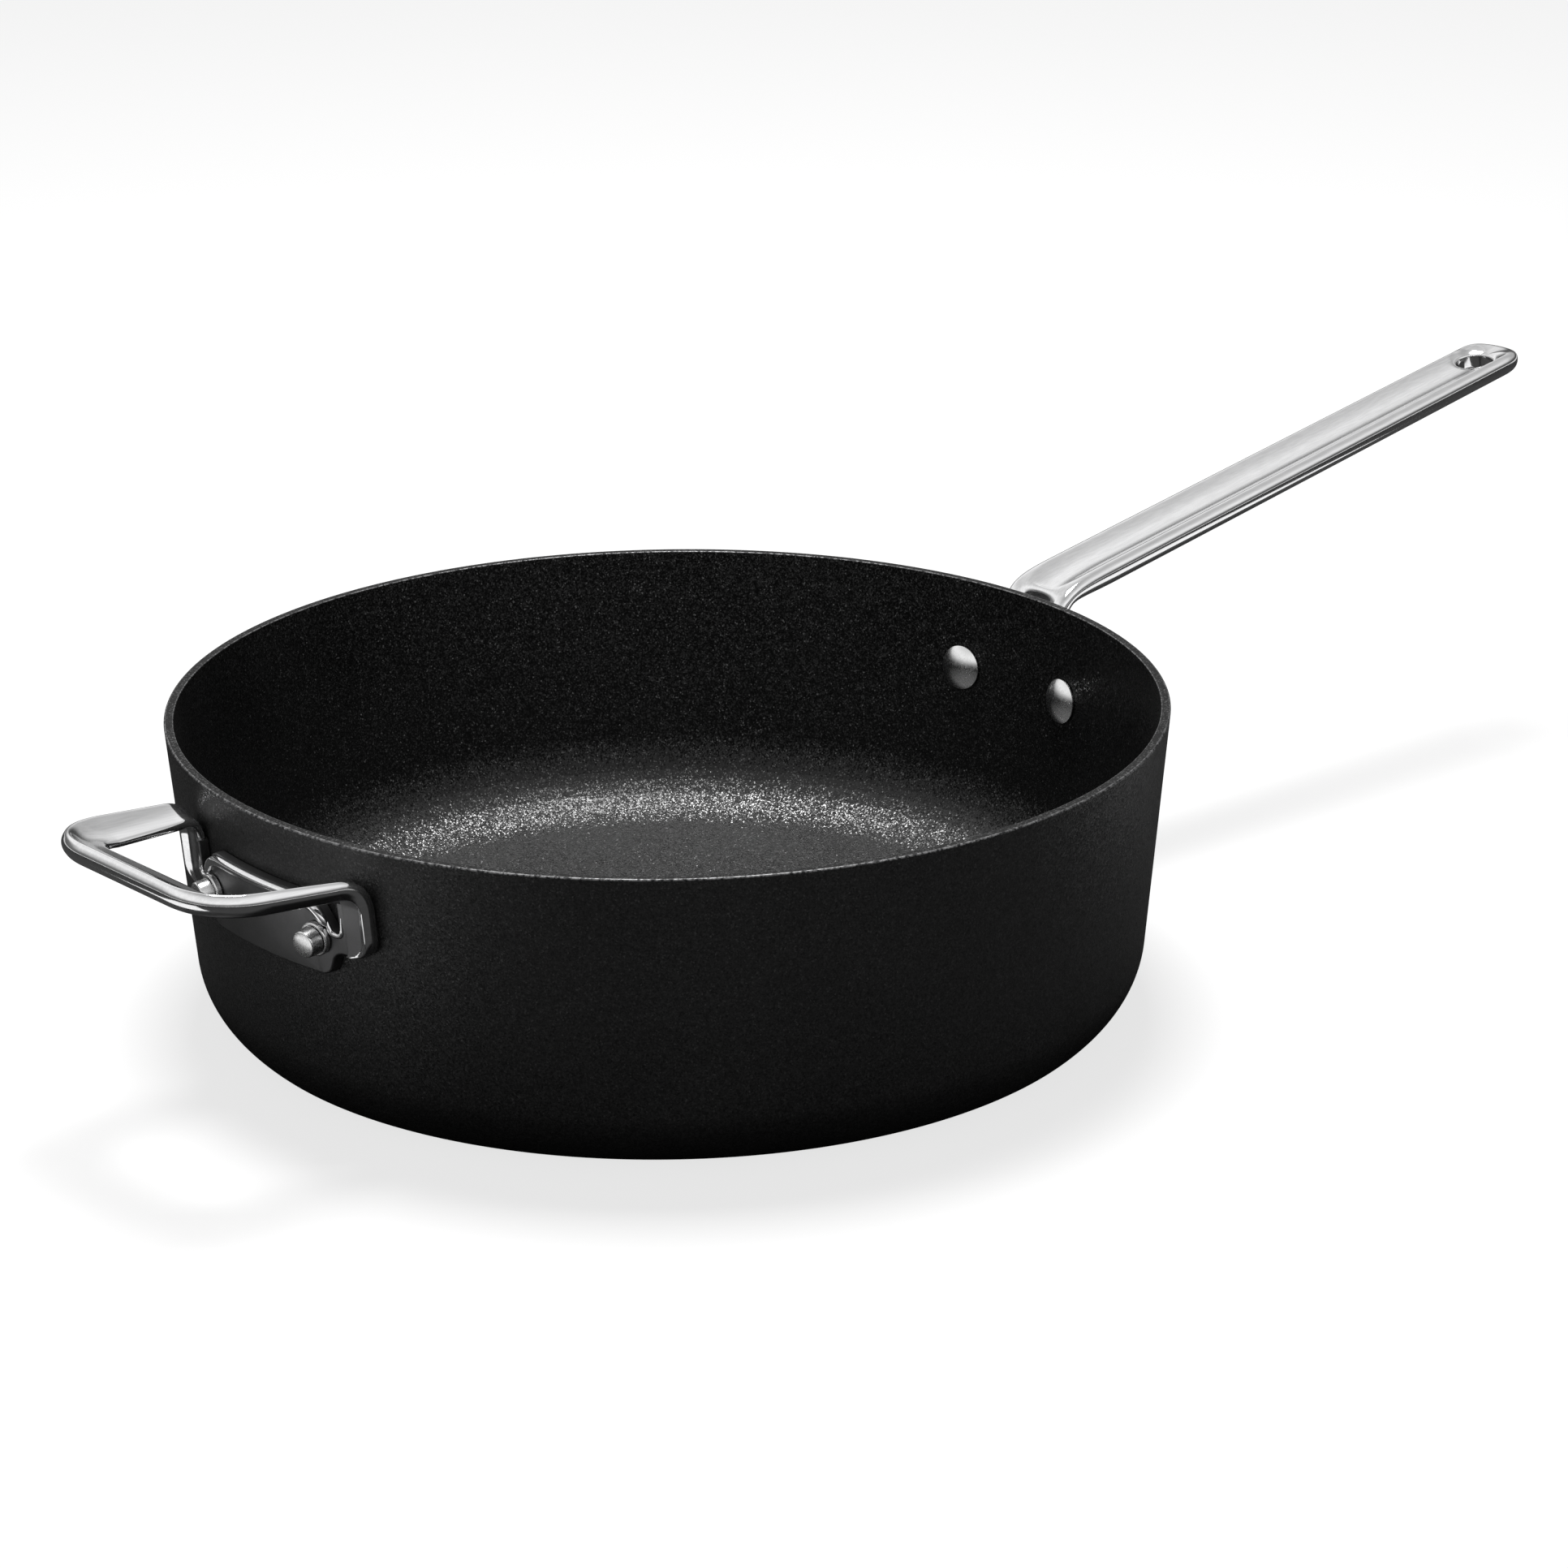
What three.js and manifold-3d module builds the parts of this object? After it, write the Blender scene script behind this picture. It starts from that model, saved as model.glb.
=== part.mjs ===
// Saute pan: a coated body with a bonded base plate, a long handle, a helper handle, and the
// rivets and collars that hold both handles. Millimetres, +Z up. The origin is the centre of
// the underside. The long handle points along +X and the helper handle along -X.
import * as THREE from 'three';
import { mergeVertices } from 'three/addons/utils/BufferGeometryUtils.js';
import Module from 'manifold-3d';

const wasm = await Module();
wasm.setup();

const { degToRad, lerp, smoothstep } = THREE.MathUtils;

// Pan body
const RIM_RADIUS = 140;
const PAN_HEIGHT = 85;
const WALL_THICKNESS = 2.7;
const WALL_TAPER = degToRad(5.1);
const OUTER_CORNER_RADIUS = 23;
const UNDERSIDE_CUT = 5.5;
const INNER_CORNER_RADIUS = 24;
const FLOOR_THICKNESS = 4.2;
const RIM_CHAMFER = 0.5;

// Base plate, let into the underside
const BASE_PLATE_RADIUS = 123;
const BASE_PLATE_THICKNESS = 2;
const BASE_PLATE_STANDOFF = 1.2;
const BASE_PLATE_CHAMFER = 0.5;

// Gap between pieces that are fitted to each other
const CLEARANCE = 0.3;

// Rivets and the collars under their outer studs
const RIVET_BELOW_RIM = 27;
const LONG_RIVET_PITCH = 43.6;
const HELPER_RIVET_PITCH = 44.6;
const SHANK_RADIUS = 2.9;
const HEAD_RADIUS = 6.6;
const HEAD_HEIGHT = 2.6;
const COLLAR_RADIUS = 4.7;
const COLLAR_THICKNESS = 1.6;
const COLLAR_CHAMFER = 0.5;
const STUD_RADIUS = 4;
const STUD_LENGTH = 3.8;
const STUD_TAPER = 0.3;
const STUD_CHAMFER = 0.7;

// Riveted plates of both handles. Their heights are counted from the line of the rivets.
const PLATE_THICKNESS = 3;
const PLATE_FOOT = 10.8;
const PLATE_CORNER = 3;

// Long handle: plate, neck that bends out over the rim, and a dished bar with a hanging hole
const LONG_PLATE_WIDTH = 66;
const LONG_PLATE_CORNER = 10;
const LONG_PLATE_SHOULDER = 6;
const NECK_TOP = 16;
const NECK_ROOT_WIDTH = 32;
const NECK_WIDTH = 23.5;
const NECK_THICKNESS = 4.6;
const BEND_RISE = 33.4;
const BEND_REACH = 27.4;
const BEND_WALL_PULL = 19;
const BEND_BAR_PULL = 20;
const BAR_SLOPE = degToRad(9.83);
const BAR_LENGTH = 190;
const BAR_WIDTH = 22.2;
const BAR_END_WIDTH = 20.4;
const BAR_THICKNESS = 6.6;
const BAR_END_ROUND = 11;
const TROUGH_WIDTH = 16.4;
const TROUGH_DEPTH = 1.5;
const HANGING_HOLE_RADIUS = 5.8;
const HANGING_HOLE_INSET = 15;

// Helper handle: plate with a thick lip, two ears, and a bow with a deep outer rim
const TONGUE_WIDTH = 54;
const PAD_TOP = 11.2;
const PAD_TOP_WIDTH = 45;
const PAD_LIP_HEIGHT = 3;
const PAD_LIP_THICKNESS = 4.6;
const EAR_FOOT = 3.4;
const EAR_CORNER = 6;
const EAR_SPACING = 71.6;
const EAR_WIDTH = 10;
const EAR_RIM_DEPTH = 5.2;
const NOTCH_WIDTH = 2.6;
const NOTCH_FLOOR = 2.4;
const BOW_ROOT_RISE = 20.4;
const BOW_SLOPE = degToRad(6.9);
const BOW_REACH = 47.2;
const BOW_WIDTH = 12.2;
const BOW_BAR_SPACING = 66;
const BOW_BEND_LEG = 9;
const BOW_CORNER_LEG = 14;
const BOW_RIM_DEPTH = 7.2;
const BOW_RIM_LEAN = 2.2;
const BOW_RIM_ROUND = 1.6;
const BOW_INNER_THICKNESS = 2;
const BOW_FALL = 5;
const BOW_ROOT_SHARE = 0.65;

// How finely curves are stepped
const ROUND_STEPS = 96;
const SMALL_ROUND_STEPS = 24;
const ARC_STEPS = 8;
const SECTION_STEPS = 22;
const STRAIGHT_STEPS = 2;
const TURN_STEPS = 8;
const NECK_STEPS = 14;

// Powers that draw a round out towards a square: of the sections, and of the bar's end in plan
const SECTION_POWER = 0.7;
const END_POWER = 0.85;

const COATED_BLACK = { color: 0x1b1b1c, roughness: 0.5, metalness: 0.1 };
const POLISHED_STEEL = { color: 0xc9cacb, roughness: 0.16, metalness: 1 };
const SATIN_STEEL = { color: 0xb9b8b3, roughness: 0.3, metalness: 1 };
const BRUSHED_STEEL = { color: 0xa6a7a8, roughness: 0.42, metalness: 1 };

const RIVET_HEIGHT = PAN_HEIGHT - RIVET_BELOW_RIM;
const UP = new THREE.Vector3(0, 0, 1);

// Outside radius of the wall at a height, pushed out square to the wall by an offset
function wallRadius(z, offset = 0) {
  return RIM_RADIUS - (PAN_HEIGHT - z) * Math.tan(WALL_TAPER) + offset / Math.cos(WALL_TAPER);
}

// A point at a distance off the wall, at a height over the rivets and a distance to one side
function offWall(side, y, rise, offset) {
  const z = RIVET_HEIGHT + rise;
  const radius = wallRadius(z, offset);
  const turn = Math.asin(y / radius);
  return new THREE.Vector3(side * radius * Math.cos(turn), y, z);
}

// A closed three.js geometry as a solid for cutting and joining
function toSolid(geometry) {
  const bare = geometry.clone();
  bare.deleteAttribute('normal');
  bare.deleteAttribute('uv');
  const merged = mergeVertices(bare, 1e-3);
  return new wasm.Manifold(new wasm.Mesh({
    numProp: 3,
    vertProperties: new Float32Array(merged.attributes.position.array),
    triVerts: new Uint32Array(merged.index.array),
  }));
}

function toGeometry(solid) {
  const { vertProperties, triVerts } = solid.getMesh();
  const geometry = new THREE.BufferGeometry();
  geometry.setAttribute('position', new THREE.BufferAttribute(vertProperties, 3));
  geometry.setIndex(new THREE.BufferAttribute(triVerts, 1));
  geometry.computeVertexNormals();
  return geometry;
}

// Points of an arc in a profile, both ends included
function arcPoints(centreX, centreY, radius, from, to) {
  const points = [];
  for (let i = 0; i <= ARC_STEPS; i += 1) {
    const angle = lerp(from, to, i / ARC_STEPS);
    const x = centreX + radius * Math.cos(angle);
    points.push(new THREE.Vector2(x, centreY + radius * Math.sin(angle)));
  }
  return points;
}

// A revolve about +Z of a profile of (radius, height) pairs, drawn counter-clockwise
function revolve(profile, steps) {
  const points = profile.map((p) => (p.isVector2 ? p : new THREE.Vector2(...p)));
  return new THREE.LatheGeometry(points, steps).rotateX(Math.PI / 2);
}

// A closed outline with each corner cut to a curve of its own size: rows of x, y and corner size
function roundedShape(corners) {
  const shape = new THREE.Shape();
  corners.forEach(([x, y, size], i) => {
    const here = new THREE.Vector2(x, y);
    const [before, after] = [-1, 1].map((step) => {
      const [nearX, nearY] = corners[(i + step + corners.length) % corners.length];
      const near = new THREE.Vector2(nearX, nearY);
      const leg = Math.min(size, here.distanceTo(near) / 2);
      return near.sub(here).setLength(leg).add(here);
    });
    if (i === 0) shape.moveTo(before.x, before.y);
    else shape.lineTo(before.x, before.y);
    shape.quadraticCurveTo(x, y, after.x, after.y);
  });
  return shape;
}

// The same rows on both sides of the middle line, for an outline listed from its foot upwards
function mirroredRows(rows) {
  return [...rows, ...rows.map(([y, z, size]) => [-y, z, size]).reverse()];
}

// A plate that follows the wall, cut to an outline of distances sideways and over the rivets
function wallPlate(side, shape, thickness) {
  const reach = RIVET_BELOW_RIM;
  const low = RIVET_HEIGHT - reach;
  const high = RIVET_HEIGHT + reach;
  const inside = CLEARANCE;
  const outside = CLEARANCE + thickness;
  const band = revolve([
    [wallRadius(low, inside), low],
    [wallRadius(low, outside), low],
    [wallRadius(high, outside), high],
    [wallRadius(high, inside), high],
    [wallRadius(low, inside), low],
  ], ROUND_STEPS);
  const depth = RIM_RADIUS + outside + reach;
  const prism = new THREE.ExtrudeGeometry(shape, {
    depth,
    bevelEnabled: false,
    curveSegments: ARC_STEPS,
  });
  prism.rotateX(Math.PI / 2).rotateZ(Math.PI / 2);
  prism.translate(side > 0 ? 0 : -depth, 0, RIVET_HEIGHT);
  return toSolid(band).intersect(toSolid(prism));
}

// A closed skin through rings of equally many points, with a fan over each end
function loftSolid(rings) {
  const count = rings[0].length;
  const points = rings.flat();
  const index = [];
  for (let i = 0; i + 1 < rings.length; i += 1) {
    for (let j = 0; j < count; j += 1) {
      const a = i * count + j;
      const b = i * count + ((j + 1) % count);
      index.push(a, b + count, b, a, a + count, b + count);
    }
  }
  [0, rings.length - 1].forEach((i) => {
    const middle = points.length;
    points.push(rings[i].reduce((sum, p) => sum.add(p), new THREE.Vector3()).divideScalar(count));
    for (let j = 0; j < count; j += 1) {
      const a = i * count + j;
      const b = i * count + ((j + 1) % count);
      index.push(middle, ...(i === 0 ? [a, b] : [b, a]));
    }
  });
  const geometry = new THREE.BufferGeometry().setFromPoints(points);
  geometry.setIndex(index);
  return toSolid(geometry);
}

// A cosine or sine drawn out towards a square corner, for a rounded-oblong section
function squared(value) {
  return Math.sign(value) * Math.abs(value) ** SECTION_POWER;
}

// Place and outward direction of one rivet on the outer wall
function rivetFrame(side, y) {
  const point = offWall(side, y, 0, 0);
  const level = new THREE.Vector3(point.x, point.y, 0).normalize();
  const outward = level.multiplyScalar(Math.cos(WALL_TAPER)).addScaledVector(UP, -Math.sin(WALL_TAPER));
  return { point, outward };
}

// Stands a revolve about +Z on a rivet's axis
function placeOnRivet(geometry, { point, outward }) {
  const turn = new THREE.Quaternion().setFromUnitVectors(UP, outward);
  return geometry.applyQuaternion(turn).translate(point.x, point.y, point.z);
}

const rivets = [
  { owner: 'long_handle', side: 1, pitch: LONG_RIVET_PITCH },
  { owner: 'helper_handle', side: -1, pitch: HELPER_RIVET_PITCH },
].flatMap(({ owner, side, pitch }) => [
  { owner, end: 'a', frame: rivetFrame(side, pitch / 2) },
  { owner, end: 'b', frame: rivetFrame(side, -pitch / 2) },
]);

// Straight holes along the rivets through wall and plates
function cutRivetHoles(solid) {
  const radius = SHANK_RADIUS + CLEARANCE;
  const length = 4 * (WALL_THICKNESS + PLATE_THICKNESS);
  return rivets.reduce((rest, { frame }) => {
    const hole = new THREE.CylinderGeometry(radius, radius, length, SMALL_ROUND_STEPS);
    return rest.subtract(toSolid(placeOnRivet(hole.rotateX(Math.PI / 2), frame)));
  }, solid);
}

function makePanBody() {
  const under = BASE_PLATE_STANDOFF;
  const recess = BASE_PLATE_RADIUS + CLEARANCE;
  const recessTop = BASE_PLATE_THICKNESS + CLEARANCE;
  const floor = recessTop + FLOOR_THICKNESS;
  const outerZ = under + OUTER_CORNER_RADIUS - UNDERSIDE_CUT;
  const outerX = wallRadius(outerZ, -OUTER_CORNER_RADIUS);
  const outerEdge = -Math.asin((outerZ - under) / OUTER_CORNER_RADIUS);
  const innerZ = floor + INNER_CORNER_RADIUS;
  const innerX = wallRadius(innerZ, -WALL_THICKNESS - INNER_CORNER_RADIUS);
  const rimInside = wallRadius(PAN_HEIGHT, -WALL_THICKNESS);
  const profile = [
    [0, recessTop],
    [recess, recessTop],
    [recess, under],
    ...arcPoints(outerX, outerZ, OUTER_CORNER_RADIUS, outerEdge, -WALL_TAPER),
    [wallRadius(PAN_HEIGHT - RIM_CHAMFER), PAN_HEIGHT - RIM_CHAMFER],
    [RIM_RADIUS - RIM_CHAMFER, PAN_HEIGHT],
    [rimInside, PAN_HEIGHT],
    ...arcPoints(innerX, innerZ, INNER_CORNER_RADIUS, -WALL_TAPER, -Math.PI / 2),
    [0, floor],
  ];
  return toGeometry(cutRivetHoles(toSolid(revolve(profile, ROUND_STEPS))));
}

function makeBasePlate() {
  return revolve([
    [0, 0],
    [BASE_PLATE_RADIUS - BASE_PLATE_CHAMFER, 0],
    [BASE_PLATE_RADIUS, BASE_PLATE_CHAMFER],
    [BASE_PLATE_RADIUS, BASE_PLATE_THICKNESS],
    [0, BASE_PLATE_THICKNESS],
  ], ROUND_STEPS);
}

// Top line of the long handle in its upright plane, from the plate to the end of the bar
function longHandlePath() {
  const along = new THREE.Vector3(Math.cos(BAR_SLOPE), 0, Math.sin(BAR_SLOPE));
  const wallward = new THREE.Vector3(Math.sin(WALL_TAPER), 0, Math.cos(WALL_TAPER));
  const foot = offWall(1, 0, 0, CLEARANCE);
  const rise = foot.clone().addScaledVector(wallward, LONG_PLATE_SHOULDER);
  const barStart = foot.clone().add(new THREE.Vector3(BEND_REACH, 0, BEND_RISE));
  const barEnd = barStart.clone().addScaledVector(along, BAR_LENGTH);
  const bend = new THREE.CubicBezierCurve3(
    rise,
    rise.clone().addScaledVector(wallward, BEND_WALL_PULL),
    barStart.clone().addScaledVector(along, -BEND_BAR_PULL),
    barStart,
  );
  return { foot, rise, bend, barStart, barEnd, along };
}

// One ring of the long handle, a rounded oblong with a trough in its top. The top is at the point.
function longHandleRing(point, tangent, width, thickness, troughDepth) {
  const normal = new THREE.Vector3(-tangent.z, 0, tangent.x);
  const trough = Math.min(TROUGH_WIDTH, width) / 2;
  const ring = [];
  for (let j = 0; j < SECTION_STEPS; j += 1) {
    const angle = (2 * Math.PI * j) / SECTION_STEPS;
    const across = (squared(Math.cos(angle)) * width) / 2;
    const lift = (thickness / 2) * (squared(Math.sin(angle)) - 1);
    const inTrough = smoothstep(trough - Math.abs(across), 0, trough / 2);
    const dish = Math.sin(angle) > 0 ? troughDepth * inTrough : 0;
    ring.push(point.clone().setY(point.y - across).addScaledVector(normal, lift - dish));
  }
  return ring;
}

function makeLongHandle() {
  const { foot, rise, bend, barStart, barEnd, along } = longHandlePath();
  const rings = [];
  const upWall = bend.getTangent(0);
  rings.push(longHandleRing(foot, upWall, NECK_ROOT_WIDTH, PLATE_THICKNESS, 0));
  for (let i = 0; i <= NECK_STEPS; i += 1) {
    const share = i / NECK_STEPS;
    const neck = smoothstep(share, 0, 0.5);
    const bar = smoothstep(share, 0.5, 1);
    const width = lerp(lerp(NECK_ROOT_WIDTH, NECK_WIDTH, neck), BAR_WIDTH, bar);
    const thickness = lerp(lerp(PLATE_THICKNESS, NECK_THICKNESS, neck), BAR_THICKNESS, bar);
    const tangent = bend.getTangent(share);
    rings.push(longHandleRing(bend.getPoint(share), tangent, width, thickness, TROUGH_DEPTH * neck));
  }
  const straight = BAR_LENGTH - BAR_END_ROUND;
  for (let i = 1; i <= STRAIGHT_STEPS; i += 1) {
    const share = i / STRAIGHT_STEPS;
    const point = barStart.clone().addScaledVector(along, straight * share);
    const width = lerp(BAR_WIDTH, BAR_END_WIDTH, share);
    rings.push(longHandleRing(point, along, width, BAR_THICKNESS, TROUGH_DEPTH));
  }
  for (let i = 1; i <= TURN_STEPS; i += 1) {
    const turn = (i / (TURN_STEPS + 0.5)) * (Math.PI / 2);
    const left = BAR_END_ROUND * (1 - Math.sin(turn));
    const width = BAR_END_WIDTH * Math.cos(turn) ** END_POWER;
    const point = barEnd.clone().addScaledVector(along, -left);
    rings.push(longHandleRing(point, along, width, BAR_THICKNESS, TROUGH_DEPTH));
  }
  const half = LONG_PLATE_WIDTH / 2;
  const plate = wallPlate(1, roundedShape(mirroredRows([
    [half - PLATE_CORNER, -PLATE_FOOT, LONG_PLATE_CORNER],
    [half, 0, LONG_PLATE_CORNER],
    [half - LONG_PLATE_CORNER, LONG_PLATE_SHOULDER, LONG_PLATE_CORNER],
    [NECK_ROOT_WIDTH / 2 - PLATE_CORNER, NECK_TOP, PLATE_CORNER],
  ])), PLATE_THICKNESS);
  const hole = new THREE.CylinderGeometry(
    HANGING_HOLE_RADIUS,
    HANGING_HOLE_RADIUS,
    4 * BAR_THICKNESS,
    SMALL_ROUND_STEPS,
  );
  const holeAt = barEnd.clone().addScaledVector(along, -HANGING_HOLE_INSET);
  hole.rotateX(Math.PI / 2).rotateY(-BAR_SLOPE).translate(holeAt.x, holeAt.y, holeAt.z);
  const solid = loftSolid(rings).add(plate).subtract(toSolid(hole));
  return toGeometry(cutRivetHoles(solid));
}

// One half of the helper's top line: up an ear, over the bend, out along an arm, to mid bar
function helperHalfPath() {
  const earY = EAR_SPACING / 2;
  const barY = BOW_BAR_SPACING / 2;
  const foot = offWall(-1, earY, 0, CLEARANCE);
  const root = offWall(-1, earY, BOW_ROOT_RISE, CLEARANCE);
  const barX = -(wallRadius(RIVET_HEIGHT) + BOW_REACH - BOW_WIDTH / 2);
  const barZ = root.z + (root.x - barX) * Math.tan(BOW_SLOPE);
  const corner = new THREE.Vector3(barX, barY, barZ);
  const middle = new THREE.Vector3(barX, 0, barZ);
  const toward = (from, to, leg) => to.clone().sub(from).setLength(leg).add(from);
  const bend = new THREE.QuadraticBezierCurve3(
    toward(root, foot, BOW_BEND_LEG),
    root,
    toward(root, corner, BOW_BEND_LEG),
  );
  const turn = new THREE.QuadraticBezierCurve3(
    toward(corner, root, BOW_CORNER_LEG),
    corner,
    toward(corner, middle, BOW_CORNER_LEG),
  );
  const earFacing = Math.atan2(foot.y, -foot.x);
  const armFacing = Math.atan2(barY - root.y, root.x - barX);
  const barFacing = -Math.PI / 2;
  const straight = (from, to, facing, bow) => ({
    curve: new THREE.LineCurve3(from, to),
    steps: STRAIGHT_STEPS,
    facing: [facing, facing],
    bow,
  });
  return [
    straight(foot, bend.v0, earFacing, [0, 0]),
    { curve: bend, steps: TURN_STEPS, facing: [earFacing, armFacing], bow: [0, BOW_ROOT_SHARE] },
    straight(bend.v2, turn.v0, armFacing, [BOW_ROOT_SHARE, 1]),
    { curve: turn, steps: TURN_STEPS, facing: [armFacing, barFacing], bow: [1, 1] },
    straight(turn.v2, middle, barFacing, [1, 1]),
  ];
}

// Frames along a half of the helper: bow runs from 0 on the ear to 1 at the corner of the bow
function helperHalfFrames() {
  const frames = [];
  helperHalfPath().forEach(({ curve, steps, facing, bow }, piece) => {
    for (let i = piece === 0 ? 0 : 1; i <= steps; i += 1) {
      const share = i / steps;
      const angle = lerp(facing[0], facing[1], share);
      const sideways = new THREE.Vector3(Math.sin(angle), Math.cos(angle), 0);
      const tangent = curve.getTangent(share);
      const normal = sideways.clone().cross(tangent).normalize();
      const widthways = tangent.clone().cross(normal);
      frames.push({ point: curve.getPoint(share), widthways, normal, bow: lerp(bow[0], bow[1], share) });
    }
  });
  return frames;
}

function mirrorFrame(frame) {
  const flip = new THREE.Vector3(1, -1, 1);
  const [point, widthways, normal] = [frame.point, frame.widthways, frame.normal]
    .map((v) => v.clone().multiply(flip));
  return { point, widthways, normal, bow: frame.bow };
}

// Section of the helper: a bulging outer edge, a ridge over it, and a hollow that falls to a thin
// inner edge. On the ear the ridge lies flat against the wall and the front is hollow instead.
function helperRing({ point, widthways, normal, bow }) {
  const half = lerp(EAR_WIDTH, BOW_WIDTH, bow) / 2;
  const rim = lerp(EAR_RIM_DEPTH, BOW_RIM_DEPTH, bow);
  const inner = lerp(PLATE_THICKNESS, BOW_INNER_THICKNESS, bow);
  const fall = BOW_FALL * bow;
  const section = roundedShape([
    [half, -rim / 2, rim / 3],
    [half - BOW_RIM_LEAN * bow, 0, BOW_RIM_ROUND],
    [0, -fall * 0.75, half / 2],
    [-half, -fall, inner / 2],
    [-half, -fall - inner, inner / 2],
    [0, -lerp(PLATE_THICKNESS, rim, bow), half / 2],
    [half - BOW_RIM_LEAN, -rim, BOW_RIM_ROUND],
  ]);
  section.closePath();
  return section.getSpacedPoints(SECTION_STEPS).slice(0, -1).map(({ x, y }) => (
    point.clone().addScaledVector(widthways, x).addScaledVector(normal, y)
  ));
}

function makeHelperHandle() {
  const half = helperHalfFrames();
  const otherHalf = half.slice(0, -1).reverse().map(mirrorFrame);
  const bow = loftSolid([...half, ...otherHalf].map(helperRing));
  const earIn = (EAR_SPACING - EAR_WIDTH) / 2;
  const earOut = (EAR_SPACING + EAR_WIDTH) / 2;
  const tongue = TONGUE_WIDTH / 2;
  const padTop = PAD_TOP_WIDTH / 2;
  const notchOut = earIn - NOTCH_WIDTH;
  const plate = wallPlate(-1, roundedShape(mirroredRows([
    [tongue - PLATE_CORNER / 2, -PLATE_FOOT, PLATE_CORNER],
    [tongue + PLATE_CORNER / 2, -EAR_FOOT, PLATE_CORNER],
    [earOut, -EAR_FOOT, EAR_CORNER],
    [earOut, PAD_TOP, 0],
    [earIn, PAD_TOP, 0],
    [earIn, NOTCH_FLOOR, NOTCH_WIDTH / 2],
    [notchOut, NOTCH_FLOOR, NOTCH_WIDTH / 2],
    [padTop, PAD_TOP, PLATE_CORNER],
  ])), PLATE_THICKNESS);
  const lipLow = PAD_TOP - PAD_LIP_HEIGHT;
  const slant = ((notchOut - padTop) * PAD_LIP_HEIGHT) / (PAD_TOP - NOTCH_FLOOR);
  const lip = wallPlate(-1, roundedShape(mirroredRows([
    [padTop + slant, lipLow, 0],
    [padTop, PAD_TOP, PLATE_CORNER],
  ])), PAD_LIP_THICKNESS);
  return toGeometry(cutRivetHoles(bow.add(plate).add(lip)));
}

// Distance along a rivet's axis from the outer wall to where its collar and its stud begin
const COLLAR_SEAT = CLEARANCE + PLATE_THICKNESS + CLEARANCE;
const STUD_SEAT = COLLAR_SEAT + COLLAR_THICKNESS + CLEARANCE;

function makeRivet(frame) {
  const inner = wallRadius(RIVET_HEIGHT, -WALL_THICKNESS);
  const hollow = HEAD_RADIUS ** 2 / (2 * inner);
  const headSeat = -WALL_THICKNESS - CLEARANCE - hollow;
  const domeRadius = (HEAD_RADIUS ** 2 + HEAD_HEIGHT ** 2) / (2 * HEAD_HEIGHT);
  const domeCentre = headSeat - HEAD_HEIGHT + domeRadius;
  const domeEdge = -Math.acos(HEAD_RADIUS / domeRadius);
  const studTop = STUD_SEAT + STUD_LENGTH;
  const studEnd = STUD_RADIUS - STUD_TAPER;
  return placeOnRivet(revolve([
    [0, headSeat - HEAD_HEIGHT],
    ...arcPoints(0, domeCentre, domeRadius, -Math.PI / 2, domeEdge).slice(1),
    [SHANK_RADIUS, headSeat],
    [SHANK_RADIUS, STUD_SEAT],
    [STUD_RADIUS, STUD_SEAT],
    [studEnd, studTop - STUD_CHAMFER],
    [studEnd - STUD_CHAMFER, studTop],
    [0, studTop],
  ], SMALL_ROUND_STEPS), frame);
}

function makeCollar(frame) {
  const bore = SHANK_RADIUS + CLEARANCE;
  const top = COLLAR_SEAT + COLLAR_THICKNESS;
  return placeOnRivet(revolve([
    [bore, COLLAR_SEAT],
    [COLLAR_RADIUS, COLLAR_SEAT],
    [COLLAR_RADIUS, top - COLLAR_CHAMFER],
    [COLLAR_RADIUS - COLLAR_CHAMFER, top],
    [bore, top],
    [bore, COLLAR_SEAT],
  ], SMALL_ROUND_STEPS), frame);
}

const pan = new THREE.Group();

function addPiece(name, geometry, finish) {
  const mesh = new THREE.Mesh(geometry, new THREE.MeshStandardMaterial(finish));
  mesh.name = name;
  pan.add(mesh);
}

addPiece('pan_body', makePanBody(), COATED_BLACK);
addPiece('base_plate', makeBasePlate(), BRUSHED_STEEL);
addPiece('long_handle', makeLongHandle(), POLISHED_STEEL);
addPiece('helper_handle', makeHelperHandle(), POLISHED_STEEL);
rivets.forEach(({ owner, end, frame }) => {
  addPiece(`${owner}_rivet_${end}`, makeRivet(frame), SATIN_STEEL);
  addPiece(`${owner}_rivet_collar_${end}`, makeCollar(frame), SATIN_STEEL);
});

export default pan;
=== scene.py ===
import math

import bmesh
import bpy
import numpy as np
from mathutils import Matrix, Vector


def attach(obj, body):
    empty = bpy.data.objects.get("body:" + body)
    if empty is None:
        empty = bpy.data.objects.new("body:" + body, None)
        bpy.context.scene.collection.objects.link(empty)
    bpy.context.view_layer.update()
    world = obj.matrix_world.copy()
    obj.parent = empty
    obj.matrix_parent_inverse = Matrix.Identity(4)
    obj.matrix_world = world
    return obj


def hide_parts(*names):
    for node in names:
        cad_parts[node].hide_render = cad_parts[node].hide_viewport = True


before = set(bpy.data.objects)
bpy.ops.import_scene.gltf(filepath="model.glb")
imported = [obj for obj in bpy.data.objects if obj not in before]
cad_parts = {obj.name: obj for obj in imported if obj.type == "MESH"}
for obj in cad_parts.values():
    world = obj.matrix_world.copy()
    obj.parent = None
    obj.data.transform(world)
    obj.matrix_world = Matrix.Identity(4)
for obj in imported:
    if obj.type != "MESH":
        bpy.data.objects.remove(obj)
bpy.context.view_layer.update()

# Pan body, in metres as everything here
RIM_RADIUS = 0.140
PAN_HEIGHT = 0.085
WALL_THICKNESS = 0.0027
WALL_TAPER = math.radians(5.1)
OUTER_CORNER_RADIUS = 0.023
UNDERSIDE_CUT = 0.0055
INNER_CORNER_RADIUS = 0.024
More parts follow.
